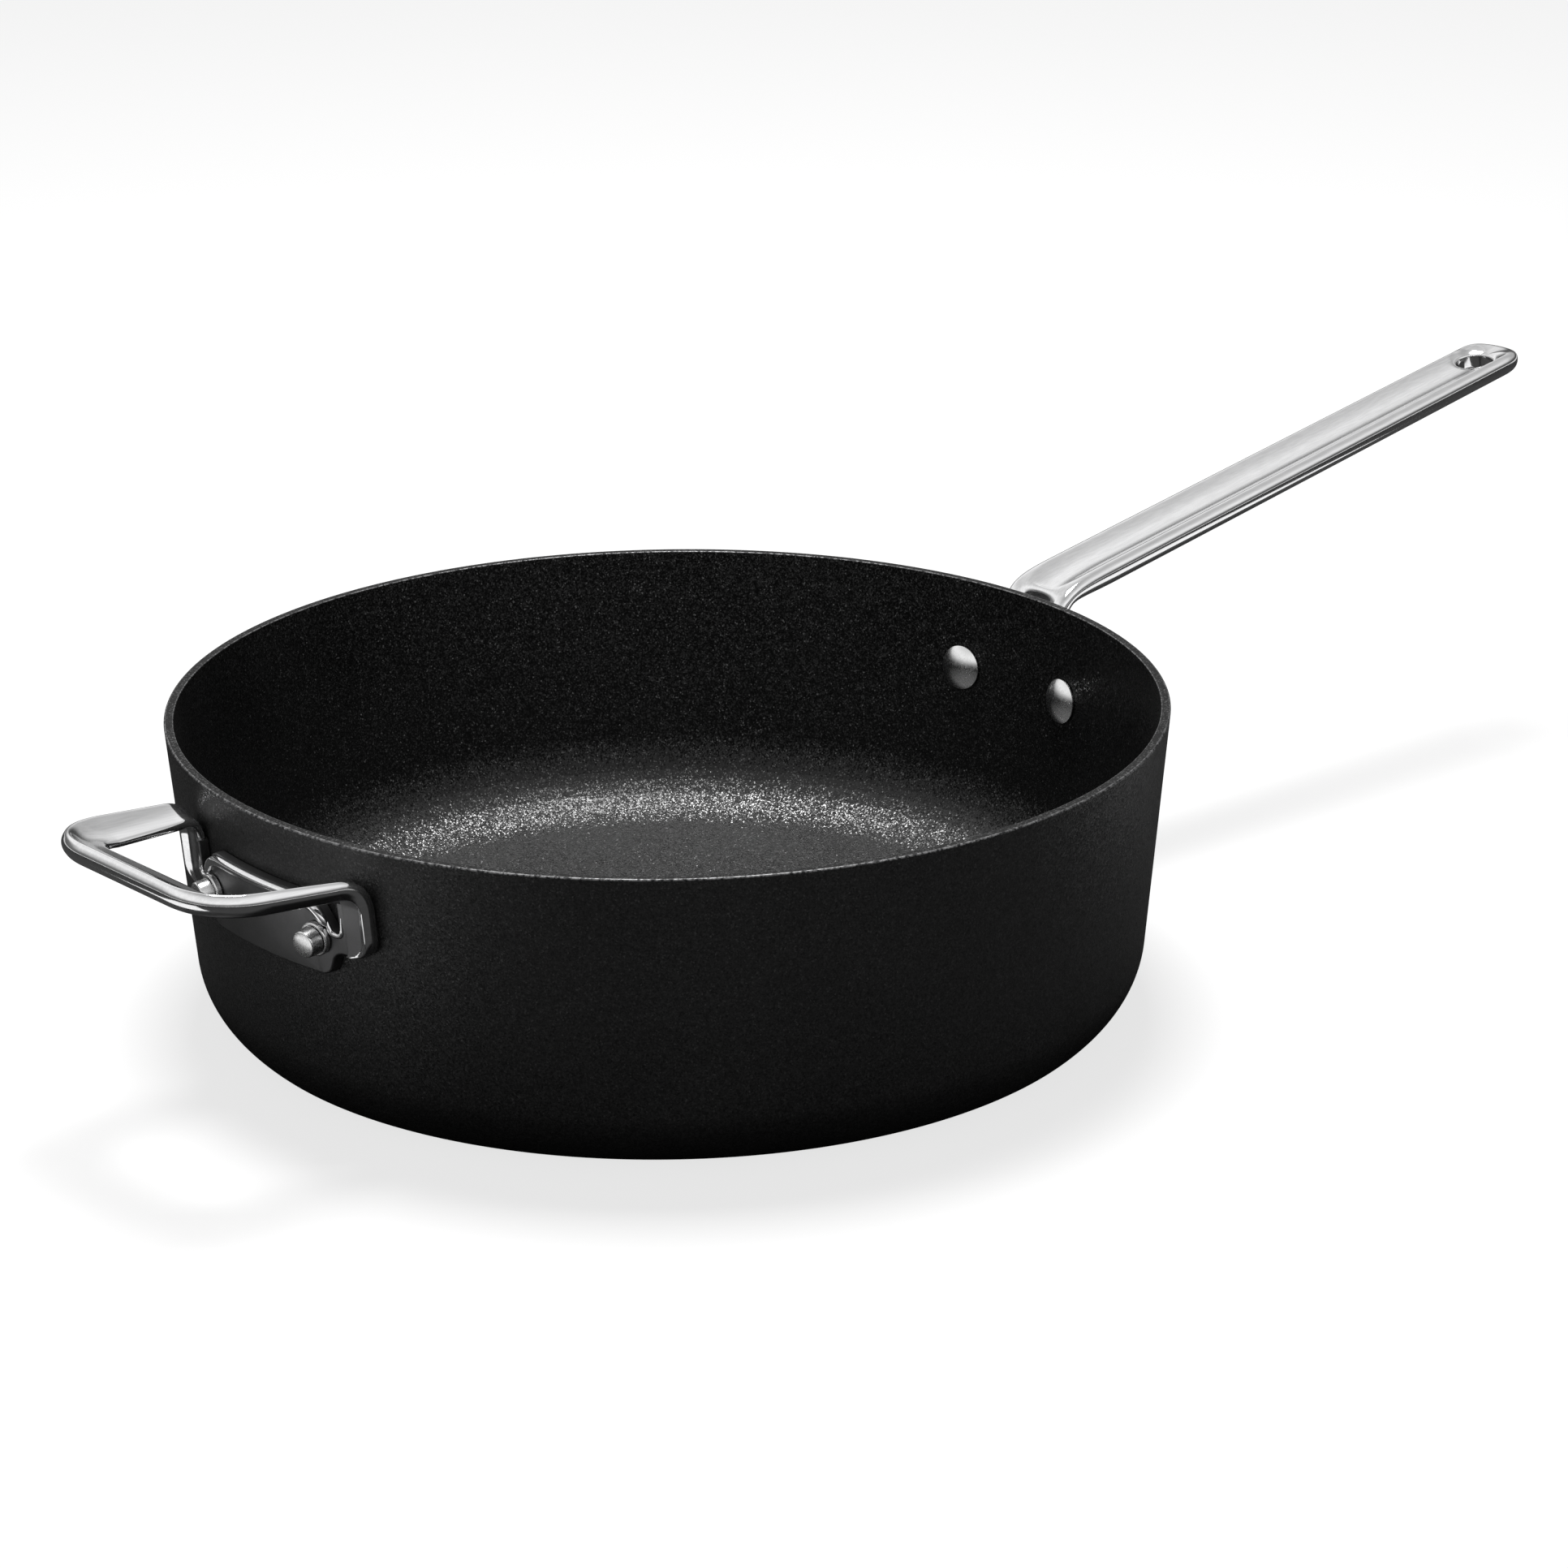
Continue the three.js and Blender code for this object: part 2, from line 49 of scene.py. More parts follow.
FLOOR_THICKNESS = 0.0042
RIM_OUTER_ROUND = 0.0005
RIM_INNER_ROUND = 0.0003

# Base plate
BASE_PLATE_RADIUS = 0.123
BASE_PLATE_THICKNESS = 0.002
BASE_PLATE_STANDOFF = 0.0012
BASE_PLATE_ROUND = 0.0005

CLEARANCE = 0.0003
FLOOR_LEVEL = BASE_PLATE_THICKNESS + CLEARANCE + FLOOR_THICKNESS

# Plates of both handles. Heights on the wall are counted from the line of the rivets.
PLATE_THICKNESS = 0.003
PLATE_FOOT = 0.0108
PLATE_EDGE = 0.0011

# Rivets and collars. Seats are counted outwards from the wall.
RIVET_HEIGHT = 0.058
LONG_RIVET_PITCH = 0.0436
HELPER_RIVET_PITCH = 0.0446
SHANK_RADIUS = 0.0029
HEAD_RADIUS = 0.0066
HEAD_HEIGHT = 0.0026
HEAD_EDGE_ROUND = 0.0004
COLLAR_RADIUS = 0.0047
COLLAR_THICKNESS = 0.0016
COLLAR_ROUND = 0.0005
COLLAR_SEAT = CLEARANCE + PLATE_THICKNESS + CLEARANCE
STUD_RADIUS = 0.004
STUD_LENGTH = 0.0038
STUD_TAPER = 0.0003
STUD_ROUND = 0.0005
STUD_ROUND_TURN = math.radians(75)
STUD_CROWN = 0.00025
STUD_SEAT = COLLAR_SEAT + COLLAR_THICKNESS + CLEARANCE

# Long handle: half widths of its plate at heights on the wall, then its neck, bar and hanging hole
PLATE_HALF_WIDTHS = (
    (-0.0108, 0.0235), (-0.0098, 0.0277), (-0.0075, 0.0301), (-0.004, 0.0313),
    (0.0, 0.0315), (0.003, 0.0300), (0.0055, 0.0268), (0.0085, 0.0215),
    (0.012, 0.0172), (0.016, 0.0145), (0.022, 0.0124), (0.030, 0.0119),
)
PLATE_SHARES = (0.0, 0.02, 0.05, 0.1, 0.2, 0.35, 0.5, 0.65, 0.8, 0.9)
PLATE_TOE_SHARE = 0.1
PLATE_TOE_THIN = 0.35
LONG_PLATE_SHOULDER = 0.006
NECK_HALF_WIDTH = 0.01175
NECK_THICKNESS = 0.0046
BEND_RISE = 0.0334
BEND_REACH = 0.0274
BEND_WALL_PULL = 0.0224
BEND_BAR_PULL = 0.0242
BAR_SLOPE = math.radians(9.83)
BAR_LENGTH = 0.190
BAR_HALF_WIDTH = 0.0111
BAR_END_HALF_WIDTH = 0.0102
BAR_THICKNESS = 0.0066
BAR_EDGE = 0.0028
BAR_EDGE_POWER = 0.9
BAR_END_ROUND = 0.011
BAR_END_POWER = 0.85
TROUGH_HALF_WIDTH = 0.0082
TROUGH_DEPTH = 0.0015
TROUGH_CREST = 0.0001
NECK_TROUGH_DEPTH = 0.0021
SPOON_END = 0.58
SPOON_SHARE = 0.3
SPOON_NARROW = 0.45
SPOON_GAP = 0.16
HANGING_HOLE_RADIUS = 0.0058
HANGING_HOLE_INSET = 0.015
HANGING_HOLE_ROUND = 0.0009
HANGING_HOLE_CUT = 0.02
BAR_ALONG = Vector((math.cos(BAR_SLOPE), 0, math.sin(BAR_SLOPE)))
BAR_UP = Vector((-math.sin(BAR_SLOPE), 0, math.cos(BAR_SLOPE)))
WALL_UP = Vector((math.sin(WALL_TAPER), 0, math.cos(WALL_TAPER)))
SIDEWAYS = Vector((0, -1, 0))

# Helper handle
TONGUE_WIDTH = 0.054
PLATE_CORNER = 0.003
PAD_TOP = 0.0112
PAD_TOP_WIDTH = 0.045
LIP_RADIUS = 0.0015
LIP_STANDOFF = 0.0034
LIP_STEP = 0.0008
EAR_FOOT = 0.0034
EAR_CORNER = 0.006
EAR_SPACING = 0.0716
EAR_WIDTH = 0.010
EAR_RIM_DEPTH = 0.0052
EAR_RIM_WIDTH = 0.0034
EAR_RIM_LEAN = 0.0013
EAR_KNEE_ROUND = 0.0008
EAR_FACE_END = 0.25
EAR_FACE_DEPTH = 0.9
EAR_IN = (EAR_SPACING - EAR_WIDTH) / 2
EAR_OUT = (EAR_SPACING + EAR_WIDTH) / 2 - EAR_RIM_LEAN
NOTCH_WIDTH = 0.0026
NOTCH_FLOOR = 0.0024
NOTCH_IN = EAR_IN - NOTCH_WIDTH
NOTCH_RIM_RADIUS = 0.0008
NOTCH_RIM_EAR_RISE = 0.006
NOTCH_RIM_PAD_RISE = 0.0035
NOTCH_RIM_PAD_INSET = 2.5 * NOTCH_RIM_RADIUS
BOW_ROOT_RISE = 0.0204
BOW_SLOPE = math.radians(6.9)
BOW_REACH = 0.0472
BOW_WIDTH = 0.0122
BOW_BAR_SPACING = 0.066
BOW_BEND_LEG = 0.009
BOW_CORNER_LEG = 0.014
BOW_RIM_DEPTH = 0.0072
BOW_RIM_LEAN = 0.0022
BOW_RIM_ROUND = 0.0016
BOW_INNER_THICKNESS = 0.002
BOW_FALL = 0.005
BOW_MIDDLE_FALL = 0.75
BOW_ROOT_SHARE = 0.65

# Fineness
ROUND_STEPS = 256
SMALL_ROUND_STEPS = 64
ARC_STEPS = 12
TOP_ROWS, EDGE_ROWS, UNDER_ROWS = 24, 26, 14
NECK_STEPS, BAR_STEPS, TIP_STEPS = 72, 60, 48
HELPER_STEPS = (24, 28, 16, 28, 8)
HELPER_RING_POINTS = 96
HELPER_CORNER_STEPS = 12
PLATE_SLICE = 0.002
PLATE_EDGE_ROWS = 7
BEAD_POINTS = 24
WELD = 2e-6
BODY_SHARP = math.radians(40)
STEEL_SHARP = math.radians(50)
RIVET_SHARP = math.radians(35)

# Coat: its grain, and the gloss and shine of four steps inside, from the wall down to the floor
COAT_CELLS = 2700.0
GRAIN_DARK, GRAIN_LIGHT = 0.4, 1.8
FLAKE_EDGE = 0.02
FLAKE_METAL = 0.9
SMUDGE_SCALE = 28.0
SMUDGE_SMOOTHER, SMUDGE_ROUGHER = 0.03, 0.05
# Height over which the floor's painted sheen, a lighter black, fades out up the round corner
SHEEN_FADE_HEIGHT = 0.007
INSIDE_LOOKS = ((0.35, 0.32), (0.33, 0.43), (0.30, 0.62), (0.26, 1.0))
INSIDE_STARTS = (9, 11, 14)

# The values that most of a noise lies between, and the depth of relief in metal
NOISE_SPAN = (0.3, 0.7)
RELIEF_DEPTH = 0.0001

# Camera, from a fit to the rim, the wall and the rivets in the photo
CAMERA_PLACE = Vector((-0.8218, -0.9845, 0.5281))
CAMERA_FORWARD = Vector((0.61971, 0.70568, -0.34351))
CAMERA_ROLL = -0.00835
FOCAL_PIXELS = 5986.3
PHOTO_PIXELS = 1932
SENSOR_WIDTH = 36.0

# Studio: the world's light by height and its darker +X side, the floor, the dark cards and the lamp
WORLD_LIGHT = 0.2
WORLD_GRADE = ((0.01, 0.10), (0.17, 0.20), (0.36, 1.0), (0.56, 1.0), (0.74, 0.72), (0.95, 0.45))
WORLD_FLAG = (0.52, 0.82, 1.0, 0.5)
FLOOR_RADIUS = 9.0
FLOOR_GLOW = 0.75
FLOOR_SHADE = 0.4
CARD_SHADE = 0.07
CARD_LIFT = 0.0005
DARK_CARDS = (
    ("low_card", (-0.235, -1.4), (0.265, 1.4)),
    ("right_card_front", (0.265, -1.4), (1.4, -0.30)),
    ("right_card_back", (0.265, -0.11), (1.4, 1.4)),
    ("right_card_end", (0.46, -0.30), (1.4, -0.11)),
    ("front_card", (-0.42, -1.4), (-0.235, -0.05)),
    ("left_card", (-1.6, -1.4), (-0.42, 1.4)),
    ("back_card", (-0.42, 0.12), (-0.235, 1.4)),
)
LAMP_PLACE = Vector((0.223, 0.253, 1.46))
LAMP_AIM = Vector((0, 0, 0.01))
LAMP_SIZE = 0.5
LAMP_POWER = 18.0


def wall_radius(z, offset=0.0):
    """Outside radius of the wall at a height, pushed out square to the wall by an offset."""
    return RIM_RADIUS - (PAN_HEIGHT - z) * math.tan(WALL_TAPER) + offset / math.cos(WALL_TAPER)


def off_wall(side, y, rise, offset):
    """A point at a distance off the wall, on the +X or -X side, above the line of the rivets."""
    z = RIVET_HEIGHT + rise
    radius = wall_radius(z, offset)
    return Vector((side * math.sqrt(radius * radius - y * y), y, z))


def arc(centre, radius, start, end, steps=ARC_STEPS):
    turns = np.linspace(start, end, steps + 1)
    return [(centre[0] + radius * math.cos(t), centre[1] + radius * math.sin(t)) for t in turns]


def plate_half_width(height):
    """Half width of the long handle's plate, on a smooth curve through its given widths."""
    heights, widths = np.array(PLATE_HALF_WIDTHS).T
    slopes = np.gradient(widths, heights)
    i = int(np.clip(np.searchsorted(heights, height) - 1, 0, len(heights) - 2))
    span = heights[i + 1] - heights[i]
    t = float(np.clip((height - heights[i]) / span, 0, 1))
    near = (1 + 2 * t) * (1 - t) ** 2 * widths[i] + t * (1 - t) ** 2 * span * slopes[i]
    far = t * t * (3 - 2 * t) * widths[i + 1] + t * t * (t - 1) * span * slopes[i + 1]
    return near + far


def blend(a, b, share):
    return a + (b - a) * share


def eased(value, low, high):
    t = min(1.0, max(0.0, (value - low) / (high - low)))
    return t * t * (3 - 2 * t)


def quadratic(a, b, c, t):
    return a * (1 - t) ** 2 + b * 2 * t * (1 - t) + c * t * t


def bezier(p0, p1, p2, p3, t):
    """Point and direction at a share of a cubic curve."""
    point = p0 * (1 - t) ** 3 + p1 * 3 * t * (1 - t) ** 2 + p2 * 3 * t * t * (1 - t) + p3 * t ** 3
    slope = (p1 - p0) * (1 - t) ** 2 + (p2 - p1) * 2 * t * (1 - t) + (p3 - p2) * t * t
    return point, slope.normalized()


def signed_power(value, power):
    return math.copysign(abs(value) ** power, value)


def add_piece(name, points, faces, materials, zones=None):
    mesh = bpy.data.meshes.new(name)
    mesh.from_pydata([tuple(p) for p in points], [], faces)
    for material in materials:
        mesh.materials.append(material)
    if zones is not None:
        mesh.polygons.foreach_set("material_index", zones)
    mesh.shade_smooth()
    mesh.validate()
    piece = bpy.data.objects.new(name, mesh)
    bpy.context.scene.collection.objects.link(piece)
    return piece


def stands_for(piece, node):
    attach(piece, "root")
    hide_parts(node)


def lathe(profile, steps, zones=None):
    """Points, faces and face zones of a profile of (radius, height) turned about +Z."""
    points, rows = [], []
    for radius, height in profile:
        if radius < 1e-9:
            rows.append([len(points)] * steps)
            points.append((0.0, 0.0, height))
            continue
        rows.append(list(range(len(points), len(points) + steps)))
        for i in range(steps):
            turn = 2 * math.pi * i / steps
            points.append((radius * math.cos(turn), radius * math.sin(turn), height))
    faces, face_zones = [], []
    for k, (low, high) in enumerate(zip(rows, rows[1:])):
        for i in range(steps):
            j = (i + 1) % steps
            face = [low[i], low[j], high[j], high[i]]
            faces.append([v for n, v in enumerate(face) if v not in face[:n]])
            face_zones.append(zones[k] if zones else 0)
    return points, faces, face_zones


def loft(rings, closed_end=True):
    """Points and faces of a skin through rings of equally many points, with a fan over the ends."""
    count = len(rings[0])
    points = [p for ring in rings for p in ring]
    faces = []
    for i in range(len(rings) - 1):
        here, there = i * count, (i + 1) * count
        for j in range(count):
            k = (j + 1) % count
            faces.append((here + j, here + k, there + k, there + j))
    for i in (0, len(rings) - 1) if closed_end else (0,):
        middle = len(points)
        points.append(sum((Vector(p) for p in rings[i]), Vector()) / count)
        for j in range(count):
            faces.append((middle, i * count + j, i * count + (j + 1) % count))
    return points, faces


def make_outward(piece, weld=0.0):
    """Joins points closer than a distance and turns all faces of a closed mesh to the outside."""
    shape = bmesh.new()
    shape.from_mesh(piece.data)
    if weld > 0:
        bmesh.ops.remove_doubles(shape, verts=shape.verts, dist=weld)
    bmesh.ops.recalc_face_normals(shape, faces=shape.faces)
    shape.to_mesh(piece.data)
    shape.free()


def cut(piece, cutter):
    """Takes a cutter's shape out of a piece."""
    change = piece.modifiers.new("cut", "BOOLEAN")
    change.operation = "DIFFERENCE"
    change.solver = "EXACT"
    change.object = cutter
    bpy.context.view_layer.update()
    seen = piece.evaluated_get(bpy.context.evaluated_depsgraph_get())
    mesh = bpy.data.meshes.new_from_object(seen)
    piece.modifiers.clear()
    piece.data = mesh
    bpy.data.objects.remove(cutter)
    mesh.set_sharp_from_angle(angle=STEEL_SHARP)


def grey(level, blue=0.0):
    """A grey with a little more blue."""
    return (level, level, level + blue, 1)


class Nodes:
    """A short way to write the nodes of a material or a world."""

    def __init__(self, owner):
        owner.use_nodes = True
        self.owner = owner
        self.tree = owner.node_tree
        self.shader = self.tree.nodes.get("Principled BSDF")

    def add(self, kind, **settings):
        node = self.tree.nodes.new(kind)
        for key, value in settings.items():
            setattr(node, key, value)
        return node

    def link(self, output, target):
        self.tree.links.new(output, target)

    def place(self):
        return self.add("ShaderNodeTexCoord").outputs["Object"]

    def split(self, vector):
        node = self.add("ShaderNodeSeparateXYZ")
        self.link(vector, node.inputs[0])
        return node.outputs

    def noise(self, place, scale, detail=2.0, roughness=0.5):
        node = self.add("ShaderNodeTexNoise")
        node.inputs["Scale"].default_value = scale
        node.inputs["Detail"].default_value = detail
        node.inputs["Roughness"].default_value = roughness
        self.link(place, node.inputs["Vector"])
        return node.outputs["Fac"]

    def spread(self, value, low, high, to_low, to_high):
        node = self.add("ShaderNodeMapRange")
        numbers = {"From Min": low, "From Max": high, "To Min": to_low, "To Max": to_high}
        for key, number in numbers.items():
            node.inputs[key].default_value = number
        self.link(value, node.inputs["Value"])
        return node.outputs["Result"]

    def math(self, operation, a, b):
        node = self.add("ShaderNodeMath", operation=operation)
        self.link(a, node.inputs[0])
        self.link(b, node.inputs[1])
        return node.outputs[0]

    def mix(self, share, low, high):
        """Blends two colours, each an output of a node or a colour of its own."""
        node = self.add("ShaderNodeMix", data_type="RGBA")
        self.link(share, node.inputs["Factor"])
        for key, colour in (("A", low), ("B", high)):
            if isinstance(colour, bpy.types.NodeSocket):
                self.link(colour, node.inputs[key])
            else:
                node.inputs[key].default_value = colour
        return node.outputs["Result"]

    def bump(self, height, strength, distance):
        node = self.add("ShaderNodeBump")
        node.inputs["Strength"].default_value = strength
        node.inputs["Distance"].default_value = distance
        self.link(height, node.inputs["Height"])
        return node.outputs["Normal"]

    def stretch(self, place, scale):
        node = self.add("ShaderNodeMapping")
        node.inputs["Scale"].default_value = scale
        self.link(place, node.inputs["Vector"])
        return node.outputs["Vector"]

    def rings(self, place):
        """Distance from the pan's axis, and height, as a place that runs in circles."""
        split = self.split(place)
        flat = self.add("ShaderNodeCombineXYZ")
        self.link(split["X"], flat.inputs["X"])
        self.link(split["Y"], flat.inputs["Y"])
        length = self.add("ShaderNodeVectorMath", operation="LENGTH")
        self.link(flat.outputs[0], length.inputs[0])
        turned = self.add("ShaderNodeCombineXYZ")
        self.link(length.outputs["Value"], turned.inputs["X"])
        self.link(split["Z"], turned.inputs["Z"])
        return turned.outputs[0]

    def seen_directly(self):
        """1 for rays from the camera and for reflected and refracted rays, 0 for all others."""
        path = self.add("ShaderNodeLightPath").outputs
        seen = self.math("MAXIMUM", path["Is Camera Ray"], path["Is Glossy Ray"])
        return self.math("MAXIMUM", seen, path["Is Transmission Ray"])


def new_material(name):
    return Nodes(bpy.data.materials.new(name))


def coating(name, black, tilt, share, shade, gloss, shine, floor_painted_sheen=None):
    """Black non-stick coat: tiny facets that each lean a little, a share of them bright metal flakes.

    On the floor, where given, a lighter black is painted sheen standing in for the backdrop's
    reflection; it fades into the wall's black up the round corner.
    """
    n = new_material(name)
    place = n.place()
    cell = n.add("ShaderNodeTexVoronoi")
    cell.inputs["Scale"].default_value = COAT_CELLS
    n.link(place, cell.inputs["Vector"])
    white_noise = n.add("ShaderNodeTexWhiteNoise")
    n.link(cell.outputs["Position"], white_noise.inputs["Vector"])
    chance = white_noise.outputs["Value"]
    flake = n.spread(chance, 1.0 - share, 1.0 + FLAKE_EDGE - share, 0.0, 1.0)
    ground = n.mix(chance, grey(GRAIN_DARK * black), grey(GRAIN_LIGHT * black))
    # Painted sheen: a lighter black on the floor stands in for reflected light and fills the shade
    # below the highlight in the corner
    if floor_painted_sheen is not None:
        floor = n.mix(chance, grey(GRAIN_DARK * floor_painted_sheen), grey(GRAIN_LIGHT * floor_painted_sheen))
        low = n.spread(n.split(place)["Z"], FLOOR_LEVEL, FLOOR_LEVEL + SHEEN_FADE_HEIGHT, 1.0, 0.0)
        ground = n.mix(low, ground, floor)
    smudge = n.noise(place, SMUDGE_SCALE, 3.0)
    roughness = n.spread(smudge, *NOISE_SPAN, gloss - SMUDGE_SMOOTHER, gloss + SMUDGE_ROUGHER)
    lean = n.add("ShaderNodeVectorMath", operation="MULTIPLY_ADD")
    n.link(cell.outputs["Color"], lean.inputs[0])
    lean.inputs[1].default_value = (tilt, tilt, tilt)
    lean.inputs[2].default_value = (-tilt / 2, -tilt / 2, -tilt / 2)
    leaning = n.add("ShaderNodeVectorMath", operation="ADD")
    n.link(n.add("ShaderNodeNewGeometry").outputs["Normal"], leaning.inputs[0])
    n.link(lean.outputs["Vector"], leaning.inputs[1])
    facing = n.add("ShaderNodeVectorMath", operation="NORMALIZE")
    n.link(leaning.outputs["Vector"], facing.inputs[0])
    n.shader.inputs["Specular IOR Level"].default_value = shine
    n.link(n.mix(flake, ground, grey(shade)), n.shader.inputs["Base Color"])
    n.link(n.spread(flake, 0.0, 1.0, 0.0, FLAKE_METAL), n.shader.inputs["Metallic"])
    n.link(roughness, n.shader.inputs["Roughness"])
    n.link(facing.outputs["Vector"], n.shader.inputs["Normal"])
    return n.owner


def metal(n, shades, wear, roughness, relief, strength, depth=RELIEF_DEPTH, metallic=1.0):
    """Sets a metal's colour, its roughness by a pattern of wear and its relief by another pattern."""
    n.link(n.mix(*shades), n.shader.inputs["Base Color"])
    n.shader.inputs["Metallic"].default_value = metallic
    n.link(n.spread(wear, *NOISE_SPAN, *roughness), n.shader.inputs["Roughness"])
    n.link(n.bump(relief, strength, depth), n.shader.inputs["Normal"])
    return n.owner


def bare_edge(name):
    """Bare aluminium where the coat is cut back, on the two edges of the rim."""
    n = new_material(name)
    place = n.place()
    lines = n.noise(n.stretch(n.rings(place), (9000.0, 9000.0, 9000.0)), 1.0)
    patch = n.spread(n.noise(place, 1100.0), 0.38, 0.62, 0.0, 1.0)
    shades = (patch, grey(0.03, 0.001), grey(0.24, 0.002))
    return metal(n, shades, lines, (0.36, 0.5), lines, 0.10, metallic=0.9)


def polished_steel(name):
    """Mirror-polished steel with faint polishing lines along the handles and a little haze."""
    n = new_material(name)
    place = n.place()
    lines = n.noise(n.stretch(place, (7.0, 1200.0, 1200.0)), 1.0)
    haze = n.noise(place, 55.0, 3.0)
    streak = n.spread(lines, *NOISE_SPAN, 0.0, 1.0)
    shades = (streak, grey(0.77, 0.005), grey(0.87, 0.005))
    return metal(n, shades, haze, (0.08, 0.13), lines, 0.004, RELIEF_DEPTH / 2)


def satin_steel(name):
    """Tumbled steel of the rivets and collars."""
    n = new_material(name)
    place = n.place()
    pits = n.noise(place, 1500.0, 3.0)
    shades = (n.noise(place, 300.0), grey(0.78), grey(0.90))
    return metal(n, shades, pits, (0.20, 0.32), pits, 0.03)


def blasted_steel(name):
    """Steel left matt and darker on the face of the helper's plate and ears."""
    n = new_material(name)
    place = n.place()
    pits = n.noise(place, 1900.0, 3.0, 0.6)
    shades = (n.noise(place, 140.0), grey(0.16, 0.002), grey(0.23, 0.002))
    return metal(n, shades, pits, (0.38, 0.5), pits, 0.2)


def turned_steel(name):
    """Steel turned in circles, under the pan."""
    n = new_material(name)
    place = n.place()
    lines = n.noise(n.stretch(n.rings(place), (2400.0, 2400.0, 2400.0)), 1.0, 3.0)
    shades = (n.noise(place, 30.0), grey(0.46, 0.01), grey(0.56, 0.01))
    return metal(n, shades, lines, (0.28, 0.44), lines, 0.25)


COAT_OUTSIDE = coating(
    "coat_outside", black=0.0155, tilt=0.34, share=0.10, shade=0.10, gloss=0.47, shine=0.54,
)
# The inside coat's floor gets a lighter black, a painted sheen standing in for the backdrop's
# reflection
COAT_INSIDE = [
    coating(
        f"coat_inside_{step}", black=0.005, tilt=0.52, share=0.10, shade=0.09,
        gloss=gloss, shine=shine, floor_painted_sheen=0.064,
    )
    for step, (gloss, shine) in enumerate(INSIDE_LOOKS)
]
COAT_RIM = coating(
    "coat_rim", black=0.007, tilt=0.40, share=0.16, shade=0.09, gloss=0.45, shine=0.14,
)
RIM_BARE = bare_edge("rim_bare")
BLASTED = blasted_steel("blasted_steel")
POLISHED = polished_steel("polished_steel")
SATIN = satin_steel("satin_steel")
TURNED = turned_steel("turned_steel")


def make_pan_body():
    under = BASE_PLATE_STANDOFF
    recess = BASE_PLATE_RADIUS + CLEARANCE
    recess_top = BASE_PLATE_THICKNESS + CLEARANCE
    outer_z = under + OUTER_CORNER_RADIUS - UNDERSIDE_CUT
    outer = (wall_radius(outer_z, -OUTER_CORNER_RADIUS), outer_z)
    edge = -math.asin((outer_z - under) / OUTER_CORNER_RADIUS)
    inner_z = FLOOR_LEVEL + INNER_CORNER_RADIUS
    inner = (wall_radius(inner_z, -WALL_THICKNESS - INNER_CORNER_RADIUS), inner_z)
    lip_out_z = PAN_HEIGHT - RIM_OUTER_ROUND
    lip_out = (wall_radius(lip_out_z, -RIM_OUTER_ROUND), lip_out_z)
    lip_in_z = PAN_HEIGHT - RIM_INNER_ROUND
    lip_in = (wall_radius(lip_in_z, RIM_INNER_ROUND - WALL_THICKNESS), lip_in_z)
    outside = [(0.0, recess_top), (recess, recess_top), (recess, under)]
    outside += arc(outer, OUTER_CORNER_RADIUS, edge, -WALL_TAPER, 2 * ARC_STEPS)
    rim = arc(lip_out, RIM_OUTER_ROUND, -WALL_TAPER, math.pi / 2)
    rim += arc(lip_in, RIM_INNER_ROUND, math.pi / 2, math.pi - WALL_TAPER)
    inside = arc(inner, INNER_CORNER_RADIUS, -WALL_TAPER, -math.pi / 2, 2 * ARC_STEPS)
    inside += [(0.0, FLOOR_LEVEL)]
    materials = [COAT_OUTSIDE, RIM_BARE, COAT_RIM, *COAT_INSIDE]
    zones = [0] * len(outside) + [1] * ARC_STEPS + [2] + [1] * ARC_STEPS
    zones += [3 + sum(row >= start for start in INSIDE_STARTS) for row in range(len(inside))]
    points, faces, face_zones = lathe(outside + rim + inside, ROUND_STEPS, zones)
    piece = add_piece("pan", points, faces, materials, face_zones)
    piece.data.set_sharp_from_angle(angle=BODY_SHARP)
    stands_for(piece, "pan_body")


def make_base_plate():
    edge = BASE_PLATE_RADIUS - BASE_PLATE_ROUND
    profile = [(0.0, 0.0)]
    profile += arc((edge, BASE_PLATE_ROUND), BASE_PLATE_ROUND, -math.pi / 2, 0)
    profile += [(BASE_PLATE_RADIUS, BASE_PLATE_THICKNESS), (0.0, BASE_PLATE_THICKNESS)]
    points, faces, _ = lathe(profile, ROUND_STEPS)
    piece = add_piece("base", points, faces, [TURNED])
    piece.data.set_sharp_from_angle(angle=BODY_SHARP)
    stands_for(piece, "base_plate")


def half_section(half_width, thickness, edge, dish, crest=1.0, trough=TROUGH_HALF_WIDTH):
    """Rows of distance sideways and height below the crest, from mid top round to mid underside.

    The top is dished, and crest lowers the edge beside the dish to the dish's own depth at 0.
    """
    half = thickness / 2
    flat = half_width - edge
    lowered = dish * (1 - crest)
    rows = []
    for across in np.linspace(0, flat, TOP_ROWS):
        bowl = dish * (1 - (across / trough) ** 2) / TROUGH_CREST
        sunk = TROUGH_CREST * math.log1p(math.exp(max(min(bowl, 50.0), -50.0)))
        rows.append((across, -max(sunk, lowered) if dish > 0 else 0.0))
    for turn in np.linspace(math.pi / 2, -math.pi / 2, EDGE_ROWS)[1:-1]:
        upper = half - lowered if turn > 0 else half
        rise = upper * signed_power(math.sin(turn), BAR_EDGE_POWER)
        rows.append((flat + edge * math.cos(turn) ** BAR_EDGE_POWER, rise - half))
    rows += [(across, -thickness) for across in np.linspace(flat, 0, UNDER_ROWS)]
    return rows


def handle_ring(
    point, tangent, half_width, thickness, edge, dish, curl=0.0, trough=TROUGH_HALF_WIDTH,
):
    """One section of the long handle, curled round the wall as far as curl says."""
    normal = Vector((-tangent.z, 0, tangent.x))
    rows = half_section(half_width, thickness, edge, dish, trough=trough)
    rows += [(-across, height) for across, height in rows[-2:0:-1]]
    return [
        point + SIDEWAYS * across + normal * (height + curl * across ** 2 / (2 * RIM_RADIUS))
        for across, height in rows
    ]


